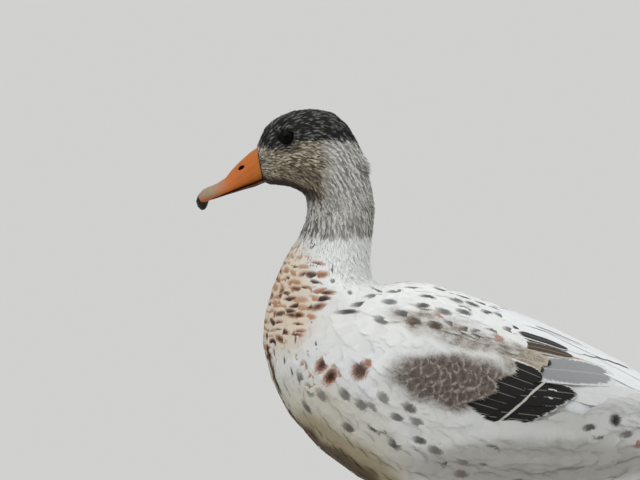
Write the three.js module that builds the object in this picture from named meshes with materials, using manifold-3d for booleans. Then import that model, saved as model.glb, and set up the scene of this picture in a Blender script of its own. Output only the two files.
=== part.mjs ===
// A standing domestic duck of mallard type, life size, as a still model.
// Millimetres, +Z up. The duck faces -Y, its left side is at +X, and it stands on Z = 0.
//
// Head, neck and trunk are one lofted form, parted by thin cuts. Each wing is a shallow shell let into
// the trunk's side, parted into coverts, speculum, tertials and primaries, with the primaries' free tip
// over the tail. Bill, eyes, tail, legs, feet and claws are pieces of their own.
import * as THREE from 'three';
import { mergeVertices } from 'three/addons/utils/BufferGeometryUtils.js';
import Module from 'manifold-3d';

const wasm = await Module();
wasm.setup();

// ---------------------------------------------------------------- driving dimensions

const GAP = 0.35;            // clearance between neighbouring solids
const BODY_SEGMENTS = 24;    // points round a section of head, neck and trunk
const WING_RELIEF = 1.2;     // how far a wing stands proud of the trunk
const WING_DEPTH = 7;        // how deep a wing is let into the trunk
const EYE_RADIUS = 5.2;
const EYE_CENTRE = [13, -136, 351.5];
const NOSTRIL = { y: -168.5, z: 329, long: 2.9, high: 1.3, tilt: 0.6 };
const LEG_X = 37;            // half the distance between the legs
const LEG_Y = 7;             // where the legs stand under the body
const STRIDE = 7;            // the left foot is this far ahead of the middle, the right one behind
const TOE_HEIGHT = 2.7;      // height of a toe's middle line above the ground
const WEB_THICKNESS = 1.4;

// One station of the body: the dorsal and ventral points in the middle plane [y, z], the half width,
// the height of the widest level as a share of the section, and the fullness (2 is an ellipse).
const station = (dorsal, ventral, halfWidth, waist = 0.5, fullness = 2.15) =>
  ({ dorsal, ventral, halfWidth, waist, fullness });

// From the tail coverts forward to the breast, up the neck and over the crown to the bill's base.
const BODY = [
  station([168, 152], [169, 137], 15, 0.5, 2),
  station([160, 158], [161, 128.5], 25, 0.5, 2.05),
  station([142, 168], [146, 114.5], 37, 0.5, 2.1),
  station([115, 183], [121, 100.5], 52, 0.5, 2.2),
  station([83, 199.5], [89, 88.5], 66, 0.5, 2.25),
  station([50, 215.5], [56, 80], 76, 0.5, 2.3),
  station([18, 229], [20, 76.5], 82, 0.5, 2.3),
  station([-11, 239], [-18, 79], 84, 0.5, 2.3),
  station([-33, 245], [-52, 90], 83, 0.5, 2.25),
  station([-50, 246], [-84, 105], 79, 0.5, 2.2),
  station([-60, 244.5], [-112, 125.5], 73, 0.5, 2.15),
  station([-67, 243.5], [-134, 150], 66, 0.5, 2.1),
  station([-71, 245], [-147.5, 176], 58, 0.5, 2.1),
  station([-73.5, 248.5], [-153.5, 200], 50, 0.5, 2.1),
  station([-75, 254], [-152.5, 221], 42, 0.5, 2.1),
  station([-75.5, 261], [-146.5, 242], 34.5, 0.5, 2.1),
  station([-75, 270], [-137.5, 263], 28.5, 0.5, 2.1),
  station([-74, 280], [-127.5, 278.5], 24.5, 0.5, 2.1),
  station([-73, 290], [-122, 291.5], 22.5, 0.5, 2.1),
  station([-72.3, 300], [-121.5, 302], 21.8, 0.5, 2.1),
  station([-74, 312], [-122.5, 308.5], 21.6, 0.48, 2.1),
  station([-76.5, 323], [-126, 311.5], 22, 0.46, 2.1),
  station([-79.5, 336], [-131, 314], 22, 0.45, 2.1),
  station([-85, 348], [-136, 315.5], 22, 0.44, 2.1),
  station([-92, 360], [-141, 316], 21.7, 0.44, 2.1),
  station([-103, 369], [-144.5, 316.3], 20.8, 0.44, 2.1),
  station([-117, 371.5], [-147.5, 316.6], 19.5, 0.44, 2.1),
  station([-131, 370], [-149.5, 317], 17.5, 0.45, 2.1),
  station([-143, 365], [-151, 317.5], 15, 0.46, 2.1),
  station([-151.5, 358], [-152.2, 318.5], 12.5, 0.45, 2.1),
  station([-157.5, 344.5], [-153, 320], 10.3, 0.4, 2.05),
];
const HEAD_CUT = { point: [-98, 309], along: [50, 3] };   // head from neck, in the middle plane
const NECK_CUT = { point: [-110, 254], along: [72, 13] };    // neck from trunk

// Soft swellings and hollows of the head's sides: middle [y, z], reach and height.
const SWELLS = [
  { at: [-121, 331], reach: 14, height: 0.9 },    // cheek
  { at: [-136, 352], reach: 7.5, height: -1.5 },  // eye socket
  { at: [-149, 336], reach: 8, height: -1.2 },    // lore, between eye and bill
  { at: [-134, 361], reach: 6, height: 0.8 },     // brow
];

// Upper bill, from the face forward to just inside the nail.
const UPPER_BILL = [
  station([-156.5, 343.8], [-152.3, 320.2], 9.8, 0.3, 1.9),
  station([-162.4, 339.6], [-157.5, 318], 9.9, 0.26, 1.8),
  station([-169.6, 333.2], [-165, 315.5], 10.2, 0.2, 1.75),
  station([-175.5, 327], [-172.5, 312.8], 10.6, 0.18, 1.8),
  station([-180, 321.2], [-179, 310.2], 11.1, 0.2, 1.9),
  station([-186, 317.4], [-184.5, 308], 11.6, 0.25, 2.1),
  station([-192, 314.8], [-189.5, 306], 11.4, 0.3, 2.3),
  station([-197, 311.2], [-193.5, 304.2], 9.6, 0.35, 2.3),
  station([-199.8, 308.2], [-196.5, 303], 6.4, 0.4, 2.2),
];
// Lower bill, from the chin forward; it lies inside the upper bill's edges.
const LOWER_BILL = [
  station([-150, 320.5], [-149.2, 315.6], 8.8, 0.6, 2),
  station([-156, 318.5], [-156.5, 313.6], 9, 0.6, 2),
  station([-167, 314.8], [-167.6, 310.8], 9.4, 0.6, 2),
  station([-178, 310.8], [-178.6, 307.5], 10, 0.6, 2),
  station([-186, 307.6], [-186.4, 304.9], 10, 0.6, 2),
  station([-191.5, 305.2], [-191.7, 303.2], 7.6, 0.6, 2),
];
// Nail, the dark bean that hooks over the bill's tip.
const NAIL = [
  station([-191.4, 315.4], [-191.6, 306], 3.8, 0.5, 2),
  station([-196, 313], [-191.8, 305], 5.2, 0.5, 2.1),
  station([-199.8, 309], [-192.2, 303.5], 5.6, 0.5, 2.2),
  station([-201.2, 304.5], [-192.8, 301.8], 5.2, 0.5, 2.2),
  station([-200, 300.6], [-193.6, 299.9], 4.2, 0.5, 2.1),
  station([-197.6, 298.2], [-195, 298.4], 2.2, 0.5, 2),
];

// Outlines on the side of the folded wing, as seen from the side [y, z].
const COVERTS = [
  [-80, 182], [-66, 199], [-38, 206], [0, 204], [30, 196], [52, 186],
  [50, 175], [34, 166], [14, 156], [-10, 151], [-36, 157], [-64, 168],
];
const SPECULUM = [
  [2, 152], [14, 154], [28, 158], [44, 170], [58, 172], [68, 165], [58, 152], [36, 146], [14, 145], [3, 147],
];
const TERTIALS = [
  [-58, 204], [-48, 218], [-10, 221], [30, 213], [70, 198], [110, 180], [148, 164],
  [140, 159], [110, 168], [84, 174], [62, 180], [46, 190], [0, 207], [-34, 209],
];
const PRIMARIES = [
  [56, 176], [90, 174], [128, 165], [158, 158], [152, 152], [126, 149], [98, 149], [70, 150], [60, 160],
];
// Free tips of the primaries, over the tail: the blade's middle line [x, y, z] and its half height.
const WING_TIP = [
  { middle: [33, 118, 159], halfHeight: 8.5 },
  { middle: [28, 138, 160], halfHeight: 7.5 },
  { middle: [20, 157, 161], halfHeight: 5.5 },
  { middle: [13, 173, 161.5], halfHeight: 1.6 },
];
const WING_TIP_HALF_THICKNESS = 1.6;

// Tail: twelve feathers in a closed fan.
const TAIL = { base: [112, 156], tip: [201, 142], halfAngle: 0.36, feathers: 12, arch: 5, thickness: 3 };

// Toes as seen from above: angle from straight ahead (outwards is positive), length and root radius.
const TOES = {
  inner: { angle: -0.44, length: 46, radius: 3.1, joints: 2 },
  middle: { angle: 0.02, length: 58, radius: 3.4, joints: 3 },
  outer: { angle: 0.46, length: 54, radius: 3.1, joints: 4 },
};

const COLOURS = {
  plumage: [0xe9e7e2, 0.85],
  neck: [0xbfbab0, 0.85],
  head: [0xa39c8c, 0.8],
  wing: [0xb5aea6, 0.8],
  speculum: [0x1d1b1c, 0.6],
  bill: [0xd0743a, 0.45],
  lowerBill: [0x5a3a26, 0.5],
  nail: [0x2b2622, 0.35],
  eye: [0x120d0a, 0.08],
  leg: [0xcf6a2c, 0.55],
  claw: [0x2f2823, 0.5],
};

// ---------------------------------------------------------------- geometry helpers

const materials = Object.fromEntries(
  Object.entries(COLOURS).map(([name, [color, roughness]]) =>
    [name, new THREE.MeshStandardMaterial({ color, roughness, metalness: 0 })]));

const v3 = (x, y, z) => new THREE.Vector3(x, y, z);
const inMiddlePlane = ([y, z]) => v3(0, y, z);

/** A closed geometry from rings of points: quads between neighbours and a fan over each end. */
function ringsGeometry(rings) {
  const count = rings[0].length;
  const positions = rings.flat().flatMap((p) => [p.x, p.y, p.z]);
  const index = [];
  for (let r = 0; r + 1 < rings.length; r++) {
    for (let i = 0; i < count; i++) {
      const j = (i + 1) % count;
      const [a, b, c, d] = [r * count + i, r * count + j, (r + 1) * count + i, (r + 1) * count + j];
      index.push(a, b, c, b, d, c);
    }
  }
  for (const [ring, first, flip] of [[rings[0], 0, true], [rings.at(-1), (rings.length - 1) * count, false]]) {
    const middle = ring.reduce((sum, p) => sum.add(p), v3(0, 0, 0)).divideScalar(count);
    const centre = positions.length / 3;
    positions.push(middle.x, middle.y, middle.z);
    for (let i = 0; i < count; i++) {
      const [a, b] = [first + i, first + ((i + 1) % count)];
      index.push(...(flip ? [centre, b, a] : [centre, a, b]));
    }
  }
  const geometry = new THREE.BufferGeometry();
  geometry.setAttribute('position', new THREE.Float32BufferAttribute(positions, 3));
  geometry.setIndex(index);
  return geometry;
}

/** A manifold-3d solid from a closed geometry, turned to face out. */
function solid(geometry) {
  const bare = new THREE.BufferGeometry();
  bare.setAttribute('position', geometry.getAttribute('position'));
  bare.setIndex(geometry.index);
  const merged = mergeVertices(bare, 1e-4);
  const build = (triVerts) => new wasm.Manifold(new wasm.Mesh({
    numProp: 3,
    vertProperties: new Float32Array(merged.attributes.position.array),
    triVerts,
  }));
  const triVerts = new Uint32Array(merged.index.array);
  const made = build(triVerts);
  return made.volume() < 0 ? build(triVerts.reverse()) : made;
}

/** A BufferGeometry from a manifold-3d solid. */
function geometryOf(made) {
  const mesh = made.getMesh();
  const geometry = new THREE.BufferGeometry();
  geometry.setAttribute('position', new THREE.BufferAttribute(mesh.vertProperties, 3));
  geometry.setIndex(new THREE.BufferAttribute(mesh.triVerts, 1));
  return geometry;
}

const swellAt = (y, z) => SWELLS.reduce((sum, { at, reach, height }) =>
  sum + height * Math.exp(-((y - at[0]) ** 2 + (z - at[1]) ** 2) / reach ** 2), 0);

/** Rings of points through the stations, moved inwards by inset. */
function stationRings(stations, { perSpan, segments, inset = 0, swell = false }) {
  const dorsal = new THREE.CatmullRomCurve3(stations.map((s) => inMiddlePlane(s.dorsal)));
  const ventral = new THREE.CatmullRomCurve3(stations.map((s) => inMiddlePlane(s.ventral)));
  const form = new THREE.CatmullRomCurve3(
    stations.map((s) => v3(s.halfWidth, s.waist * 100, s.fullness * 100)), false, 'catmullrom');
  const steps = (stations.length - 1) * perSpan;
  return Array.from({ length: steps + 1 }, (_, step) => {
    const t = step / steps;
    const [top, bottom, shape] = [dorsal.getPoint(t), ventral.getPoint(t), form.getPoint(t)];
    const up = top.clone().sub(bottom);
    const height = up.length();
    up.normalize();
    top.addScaledVector(up, -inset);
    bottom.addScaledVector(up, inset);
    const inner = Math.max(height - 2 * inset, 0.5);
    const halfWidth = Math.max(shape.x - inset, 0.25);
    const waist = shape.y / 100;
    const power = 200 / shape.z;
    return Array.from({ length: segments }, (_, i) => {
      const angle = (2 * Math.PI * i) / segments;
      const [c, s] = [Math.cos(angle), Math.sin(angle)];
      const rise = Math.sign(c) * Math.abs(c) ** power * inner * (c > 0 ? 1 - waist : waist);
      const point = bottom.clone().addScaledVector(up, waist * inner + rise);
      const side = Math.sign(s) * Math.abs(s) ** power;
      point.x = side * (halfWidth + (swell ? swellAt(point.y, point.z) * Math.abs(side) : 0));
      return point;
    });
  });
}

const stationSolid = (stations, options) => solid(ringsGeometry(stationRings(stations, options)));

/** Keeps the part of a solid above (side 1) or below (side -1) a cut through the middle plane. */
function cutAt(made, { point, along }, side) {
  const normal = v3(0, -along[1], along[0]).normalize().multiplyScalar(side);
  const offset = normal.dot(inMiddlePlane(point)) + GAP / 2;
  return made.trimByPlane(normal.toArray(), offset);
}

/** A closed smooth outline through points, and the same grown outwards by a distance. */
function outline(points, grow = 0, divisions = 2) {
  const curve = new THREE.CatmullRomCurve3(points.map(([a, b]) => v3(a, b, 0)), true, 'centripetal');
  const places = curve.getPoints(points.length * divisions).slice(0, -1);
  const turn = Math.sign(THREE.ShapeUtils.area(places));
  return places.map((p, i) => {
    const before = places.at(i - 1);
    const after = places[(i + 1) % places.length];
    const normal = new THREE.Vector2(after.y - before.y, before.x - after.x).normalize();
    return new THREE.Vector2(p.x + turn * grow * normal.x, p.y + turn * grow * normal.y);
  });
}

/** A block that runs from the middle plane outwards on the left side, with this outline [y, z]. */
function sideBlock(points, grow = 0) {
  const geometry = new THREE.ExtrudeGeometry(new THREE.Shape(outline(points, grow)),
    { depth: 120, bevelEnabled: false });
  // Shape x, y and depth become y, z and x.
  geometry.applyMatrix4(new THREE.Matrix4().set(0, 0, 1, 1, 1, 0, 0, 0, 0, 1, 0, 0, 0, 0, 0, 1));
  return solid(geometry);
}

/** A limb along a smooth path, round in section, with a radius at each path point. */
function limb(path, radii, { segments = 10, perSpan = 3, flatten = 1 } = {}) {
  const curve = new THREE.CatmullRomCurve3(path.map((p) => v3(...p)));
  const sizes = new THREE.CatmullRomCurve3(radii.map((r) => v3(r, 0, 0)), false, 'catmullrom');
  const steps = (path.length - 1) * perSpan;
  const across = v3(1, 0, 0);
  return solid(ringsGeometry(Array.from({ length: steps + 1 }, (_, step) => {
    const t = step / steps;
    const middle = curve.getPoint(t);
    const ahead = curve.getTangent(t);
    const side = across.clone().addScaledVector(ahead, -across.dot(ahead)).normalize();
    const up = ahead.clone().cross(side);
    const radius = sizes.getPoint(t).x;
    return Array.from({ length: segments }, (_, i) => {
      const angle = (2 * Math.PI * i) / segments;
      return middle.clone()
        .addScaledVector(side, radius * Math.cos(angle))
        .addScaledVector(up, radius * flatten * Math.sin(angle));
    });
  })));
}

const flatBottom = (made, level = 0) => made.trimByPlane([0, 0, 1], level);
const mirrored = (made) => made.mirror([1, 0, 0]);

// ---------------------------------------------------------------- body

const BODY_LOFT = { perSpan: 1, segments: BODY_SEGMENTS, swell: true };
const bodyLoft = (inset) => stationSolid(BODY, { ...BODY_LOFT, inset });

const whole = bodyLoft(0);
const wholeGrown = bodyLoft(-GAP);
const wingOutside = bodyLoft(-WING_RELIEF);
const underWing = bodyLoft(WING_DEPTH);
const underWingClear = bodyLoft(WING_DEPTH - GAP);

// ---------------------------------------------------------------- wings

/** The five solids of the left wing. */
function makeWing() {
  const layer = wingOutside.subtract(underWingClear);
  const tip = solid(ringsGeometry(WING_TIP.map(({ middle: [x, y, z], halfHeight }) =>
    Array.from({ length: 12 }, (_, i) => {
      const angle = (2 * Math.PI * i) / 12;
      return v3(x + WING_TIP_HALF_THICKNESS * Math.cos(angle), y, z + halfHeight * Math.sin(angle));
    }))));
  const clearOf = (...outlines) => (made) =>
    outlines.reduce((rest, points) => rest.subtract(sideBlock(points, GAP)), made);
  return {
    coverts: layer.intersect(sideBlock(COVERTS)),
    speculum: clearOf(COVERTS)(layer.intersect(sideBlock(SPECULUM))),
    tertials: clearOf(COVERTS)(layer.intersect(sideBlock(TERTIALS))),
    primaries: clearOf(COVERTS, SPECULUM, TERTIALS)(layer.intersect(sideBlock(PRIMARIES))),
    tip: tip.subtract(bodyLoft(-WING_RELIEF - GAP)),
  };
}

const wing = makeWing();
const wingPocket = [COVERTS, SPECULUM, TERTIALS, PRIMARIES]
  .map((points) => sideBlock(points, GAP))
  .reduce((sum, block) => sum.add(block))
  .subtract(underWing);
const body = whole.subtract(wingPocket).subtract(mirrored(wingPocket));
const trunk = cutAt(body, NECK_CUT, -1);
const neck = cutAt(cutAt(body, NECK_CUT, 1), HEAD_CUT, -1);

// ---------------------------------------------------------------- head, eyes and bill

const eyeBall = (radius) => solid(new THREE.SphereGeometry(radius, 10, 7))
  .translate(EYE_CENTRE);
const upperBillLoft = (inset) => stationSolid(UPPER_BILL, { perSpan: 1, segments: 18, inset });
const lowerBill = stationSolid(LOWER_BILL, { perSpan: 1, segments: 12 })
  .subtract(upperBillLoft(-GAP))
  .subtract(wholeGrown);
const nailLoft = (inset) => stationSolid(NAIL, { perSpan: 1, segments: 12, inset });

function nostril() {
  const shape = new THREE.Shape().absellipse(0, 0, NOSTRIL.long, NOSTRIL.high, 0, 2 * Math.PI);
  const geometry = new THREE.ExtrudeGeometry(shape, { depth: 40, bevelEnabled: false, curveSegments: 4 });
  geometry.translate(0, 0, -20).rotateZ(NOSTRIL.tilt);
  geometry.applyMatrix4(new THREE.Matrix4().set(0, 0, 1, 0, 1, 0, 0, NOSTRIL.y, 0, 1, 0, NOSTRIL.z, 0, 0, 0, 1));
  return solid(geometry);
}

const head = cutAt(body, HEAD_CUT, 1)
  .subtract(eyeBall(EYE_RADIUS + GAP))
  .subtract(mirrored(eyeBall(EYE_RADIUS + GAP)));
const upperBill = upperBillLoft(0)
  .subtract(nailLoft(-GAP))
  .subtract(wholeGrown)
  .subtract(nostril());
const nail = nailLoft(0).subtract(lowerBill);

// ---------------------------------------------------------------- tail

/** The fan of tail feathers: one outline with a rounded tip for each feather, arched across. */
function makeTail() {
  const [baseY, baseZ] = TAIL.base;
  const [tipY, tipZ] = TAIL.tip;
  const length = Math.hypot(tipY - baseY, tipZ - baseZ);
  const shape = new THREE.Shape();
  shape.moveTo(-12, 0);
  const tipPoints = 4;
  for (let f = 0; f < TAIL.feathers; f++) {
    for (let k = 0; k <= tipPoints; k++) {
      const share = (f + k / tipPoints) / TAIL.feathers;
      const angle = (share * 2 - 1) * TAIL.halfAngle;
      const reach = length * (1 - 0.1 * (share * 2 - 1) ** 2 - 0.035 * Math.abs((2 * k) / tipPoints - 1));
      shape.lineTo(reach * Math.sin(angle), reach * Math.cos(angle));
    }
  }
  shape.lineTo(12, 0);
  const geometry = new THREE.ExtrudeGeometry(shape, { depth: TAIL.thickness, bevelEnabled: false, steps: 1 });
  const position = geometry.getAttribute('position');
  for (let i = 0; i < position.count; i++) {
    position.setZ(i, position.getZ(i) - TAIL.arch * (position.getX(i) / 25) ** 2);
  }
  geometry.rotateX(Math.atan2(tipZ - baseZ, tipY - baseY)).translate(0, baseY, baseZ);
  return solid(geometry).subtract(wholeGrown);
}

// ---------------------------------------------------------------- legs

/** A toe's path and radii, from its root at the foot's middle, with a slight knuckle at each joint. */
function toeLimb({ angle, length, radius, joints }, root) {
  const spans = joints * 2;
  const path = [];
  const radii = [];
  for (let i = 0; i <= spans; i++) {
    const share = i / spans;
    path.push([root[0] + length * share * Math.sin(angle), root[1] - length * share * Math.cos(angle),
      TOE_HEIGHT - 0.6 * share]);
    radii.push(radius * (1 - 0.35 * share) * (i % 2 ? 0.94 : 1.06));
  }
  return limb(path, radii, { segments: 7, perSpan: 1 });
}

const toeTip = ({ angle, length }, root, reach = 1) =>
  [root[0] + reach * length * Math.sin(angle), root[1] - reach * length * Math.cos(angle)];

/** The foot of a leg whose outer side is at +X: three toes and their web, flat underneath. */
function makeFoot(root) {
  const toes = Object.values(TOES).map((toe) => toeLimb(toe, root));
  const [inner, middle, outer] = Object.values(TOES).map((toe) => toeTip(toe, root, 0.94));
  const web = new THREE.Shape();
  web.moveTo(root[0] - 3, root[1] + 2);
  web.lineTo(...inner);
  web.quadraticCurveTo(...toeTip({ ...TOES.middle, angle: -0.2 }, root, 0.74), ...middle);
  web.quadraticCurveTo(...toeTip({ ...TOES.middle, angle: 0.24 }, root, 0.8), ...outer);
  web.lineTo(root[0] + 3, root[1] + 2);
  const plate = solid(new THREE.ExtrudeGeometry(web, { depth: WEB_THICKNESS, bevelEnabled: false, curveSegments: 4 }));
  const ball = solid(new THREE.SphereGeometry(4.6, 10, 6)).translate(root[0], root[1], 3.8);
  return flatBottom(toes.reduce((sum, toe) => sum.add(toe), plate.add(ball)));
}

/** A claw at a toe's end: a short curved cone that points down ahead of the toe. */
function makeClaw(toe, root) {
  const at = (reach, z) => [...toeTip(toe, root, reach), z];
  const step = 6.5 / toe.length;
  return limb([at(1.0, 2.3), at(1 + step * 0.5, 2.5), at(1 + step, 1.2)], [1.6, 1.25, 0.35],
    { segments: 6, perSpan: 1 });
}

/** All solids of one leg; side is 1 on the left and -1 on the right. */
function makeLeg(side, stride) {
  const y = LEG_Y - stride;
  const x = LEG_X;
  const hock = [x, y + 13, 47];
  const root = [x, y + 1, 0];
  const thigh = limb([[x - 3, y - 8, 112], [x - 1, y + 2, 88], [x, y + 9, 68], [x, y + 12.5, 54]],
    [30, 24, 13, 6.4], { segments: 11, perSpan: 2 });
  const hind = { angle: Math.PI - 0.35, length: 15 };
  const foot = makeFoot(root);
  const footGrown = solid(new THREE.SphereGeometry(4.6 + GAP, 10, 6)).translate(root[0], root[1], 3.8);
  const shank = limb([[hock[0], hock[1], hock[2] + 5], hock, [x, y + 10, 36], [x, y + 5, 18], [x, y + 1, 5]],
    [5, 5.8, 4, 3.9, 4.4], { segments: 8, perSpan: 2, flatten: 1.1 }).subtract(footGrown).subtract(foot);
  const hindRoot = [x - 4.4, y + 5.5];
  const hindToe = limb([[...toeTip(hind, hindRoot, 0), 11], [...toeTip(hind, hindRoot, 0.5), 8.2],
    [...toeTip(hind, hindRoot, 0.8), 5]], [2.3, 2.1, 1.5], { segments: 8, perSpan: 1 });
  const hindClaw = limb([[...toeTip(hind, hindRoot, 0.83), 4.2], [...toeTip(hind, hindRoot, 1), 1.6]],
    [1.2, 0.35], { segments: 6, perSpan: 1 });
  const solids = {
    thigh: thigh.subtract(wholeGrown).subtract(shank),
    shank,
    foot,
    hind_toe: hindToe.subtract(shank),
    claw_hind: hindClaw,
  };
  for (const [name, toe] of Object.entries(TOES)) {
    solids[`claw_${name}`] = makeClaw(toe, root).subtract(foot);
  }
  return side > 0 ? solids
    : Object.fromEntries(Object.entries(solids).map(([name, made]) => [name, mirrored(made)]));
}

// ---------------------------------------------------------------- the duck

const duck = new THREE.Group();
const place = (name, made, material) => {
  const mesh = new THREE.Mesh(geometryOf(made), materials[material]);
  mesh.name = name;
  duck.add(mesh);
};

place('trunk', trunk, 'plumage');
place('neck', neck, 'neck');
place('head', head, 'head');
place('bill_upper', upperBill, 'bill');
place('bill_lower', lowerBill, 'lowerBill');
place('bill_nail', nail, 'nail');
place('tail', makeTail(), 'plumage');

const SIDES = [
  { name: 'left', sign: 1, stride: STRIDE },
  { name: 'right', sign: -1, stride: -STRIDE },
];
for (const { name, sign, stride } of SIDES) {
  const onSide = (made) => (sign > 0 ? made : mirrored(made));
  place(`eye_${name}`, onSide(eyeBall(EYE_RADIUS)), 'eye');
  for (const [part, made] of Object.entries(wing)) {
    place(`wing_${name}_${part}`, onSide(made), part === 'speculum' ? 'speculum' : 'wing');
  }
  for (const [part, made] of Object.entries(makeLeg(sign, stride))) {
    const material = { thigh: 'plumage', shank: 'leg', foot: 'leg', hind_toe: 'leg' }[part] ?? 'claw';
    place(`leg_${name}_${part}`, made, material);
  }
}

// The origin is on the ground, at the middle of the duck's box.
const box = new THREE.Box3().setFromObject(duck);
const middle = box.getCenter(v3(0, 0, 0));
duck.position.set(-middle.x, -middle.y, -box.min.z);

export default duck;
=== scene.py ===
"""A standing domestic duck of mallard type, life size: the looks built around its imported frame.

One skin replaces the solids of flesh. Feathers of real mesh grow on it: short tufts on the head, hair-like
ones on the neck, rounded vanes on the body, and long quills on wings and tail. Bill, eyes, lids and legs
are pieces of their own. Lengths are in millimetres until a mesh is made: x is the duck's left, y runs from
the bill to the tail and z is up.
"""
import copy
import math
from functools import partial
from itertools import chain, product

import bpy
import numpy as np
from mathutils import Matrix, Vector, noise
from mathutils.bvhtree import BVHTree
from mathutils.kdtree import KDTree


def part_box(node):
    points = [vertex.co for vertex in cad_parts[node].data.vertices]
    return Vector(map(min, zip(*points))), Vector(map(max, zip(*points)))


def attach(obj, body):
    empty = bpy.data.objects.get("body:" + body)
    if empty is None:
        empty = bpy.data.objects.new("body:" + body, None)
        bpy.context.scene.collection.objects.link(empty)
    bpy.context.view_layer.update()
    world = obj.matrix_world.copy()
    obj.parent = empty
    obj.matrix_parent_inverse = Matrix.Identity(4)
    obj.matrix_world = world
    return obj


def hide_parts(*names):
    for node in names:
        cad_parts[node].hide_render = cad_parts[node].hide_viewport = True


MM = 0.001
SIDES = {"left": 1, "right": -1}


# ------------------------------------------------------------------ the frame

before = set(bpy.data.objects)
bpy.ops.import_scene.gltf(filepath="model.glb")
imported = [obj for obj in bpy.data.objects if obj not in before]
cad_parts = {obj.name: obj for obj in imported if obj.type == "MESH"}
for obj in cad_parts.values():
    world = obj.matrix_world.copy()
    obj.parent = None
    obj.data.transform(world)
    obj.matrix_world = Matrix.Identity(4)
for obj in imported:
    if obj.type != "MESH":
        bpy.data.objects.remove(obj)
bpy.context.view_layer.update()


def node_box(name):
    """A node's lowest and highest corner in millimetres."""
    return [np.array(corner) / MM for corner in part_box(name)]


def node_middle(name):
    low, high = node_box(name)
    return (low + high) / 2


GAPE, BILL_TIP = (-151.6, 316.0), (-198.0, 301.7)   # ends of the bill's cutting edge, [y, z]
EYE = node_middle("eye_left")
EYE_RADIUS = (node_box("eye_left")[1] - node_box("eye_left")[0])[1] / 2
BILL_LOW, BILL_HIGH = node_box("bill_upper")
NECK_LOW, NECK_HIGH = node_box("neck")
TAIL_LOW, TAIL_HIGH = node_box("tail")


# ------------------------------------------------------------------ colours

def srgb(*display):
    """A linear colour from display values of 0 to 255."""
    share = np.array(display) / 255
    return np.where(share <= 0.04045, share / 12.92, ((share + 0.055) / 1.055) ** 2.4)


WHITE = srgb(230, 231, 230)
CREAM = srgb(226, 216, 192)
BUFF = srgb(188, 172, 138)
MUD = srgb(92, 76, 54)
BLACK = srgb(34, 33, 33)
DARK_BROWN = srgb(70, 56, 45)
CHESTNUT = srgb(162, 102, 64)
CHEEK = srgb(218, 207, 184)
NECK_LIGHT = srgb(236, 234, 226)
RING_WHITE = srgb(250, 250, 247)
NECK_DARK = srgb(96, 89, 78)


# ------------------------------------------------------------------ small maths

def step(low, high, x):
    """A smooth rise from 0 at low to 1 at high."""
    t = np.clip((np.asarray(x, float) - low) / (high - low), 0, 1)
    return t * t * (3 - 2 * t)


def unit(v):
    return v / np.maximum(np.linalg.norm(v, axis=-1, keepdims=True), 1e-9)


def dot(a, b):
    return (a * b).sum(-1, keepdims=True)


def mix(a, b, share):
    """a where share is 0 and b where it is 1; share has one value for each row."""
    share = np.asarray(share, float)[..., None]
    return a * (1 - share) + b * share


def side_distance(points, place):
    """How far points lie from a place [y, z] in side view."""
    return np.linalg.norm(points[:, 1:] - place, axis=1)


def blended(points, places, values, softness, power):
    """Values at these points, from those of places [y, z]: the nearest count most."""
    apart = ((points[:, None, 1:] - places) ** 2).sum(-1)
    weight = (apart + softness) ** -power
    return (weight[:, :, None] * values).sum(1) / weight.sum(1)[:, None]


def cloud(points, size, seed=0):
    """Smooth noise between about -1 and 1, with patches of this size."""
    shift = Vector((seed * 17.3, seed * 5.1, seed * 9.7))
    return np.array([noise.noise(Vector(p) / size + shift) for p in points])


# ------------------------------------------------------------------ meshes from arrays

def fetch(items, key, width, kind=np.float32):
    """One row of numbers for each item of a mesh's collection."""
    found = np.empty(len(items) * width, kind)
    items.foreach_get(key, found)
    return found.reshape(-1, width)


def read_points(mesh):
    return fetch(mesh.vertices, "co", 3).astype(float) / MM


def write_points(mesh, points):
    mesh.vertices.foreach_set("co", (np.asarray(points) * MM).astype(np.float32).ravel())
    mesh.update()


def new_mesh(name, vertices, faces):
    """A smooth object from vertices in millimetres and faces, a list of arrays of equal-sided faces."""
    mesh = bpy.data.meshes.new(name)
    mesh.vertices.add(len(vertices))
    write_points(mesh, vertices)
    corners = np.concatenate([group.ravel() for group in faces]).astype(np.int32)
    sides = np.concatenate([np.full(len(group), group.shape[1]) for group in faces])
    mesh.loops.add(len(corners))
    mesh.loops.foreach_set("vertex_index", corners)
    mesh.polygons.add(len(sides))
    mesh.polygons.foreach_set("loop_start", (np.cumsum(sides) - sides).astype(np.int32))
    mesh.update(calc_edges=True)
    mesh.polygons.foreach_set("use_smooth", np.ones(len(sides), bool))
    obj = bpy.data.objects.new(name, mesh)
    bpy.context.scene.collection.objects.link(obj)
    return obj


def give_attribute(obj, name, domain, values):
    """Stores a vector of three numbers, or a colour of four, for each point or corner."""
    kind, field = {3: ("FLOAT_VECTOR", "vector"), 4: ("FLOAT_COLOR", "color")}[values.shape[-1]]
    data = obj.data.attributes.new(name, kind, domain).data
    data.foreach_set(field, values.astype(np.float32).ravel())


def give_uv(obj, values):
    layer = obj.data.uv_layers.new(name="OFBake", do_init=False)
    layer.uv.foreach_set("vector", values.astype(np.float32).ravel())


def finish_piece(obj, material, replaced=()):
    """Gives a piece its material and body, and hides the CAD nodes that it stands for."""
    obj.data.materials.clear()
    obj.data.materials.append(material)
    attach(obj, "root")
    if replaced:
        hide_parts(*replaced)


def joined_copy(name, nodes):
    """One object with copies of these CAD nodes' meshes."""
    vertices, faces, first = [], [], 0
    for node in nodes:
        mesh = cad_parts[node].data
        mesh.calc_loop_triangles()
        vertices.append(read_points(mesh))
        faces.append(fetch(mesh.loop_triangles, "vertices", 3, np.int32) + first)
        first += len(mesh.vertices)
    return new_mesh(name, np.concatenate(vertices), faces)


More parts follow.
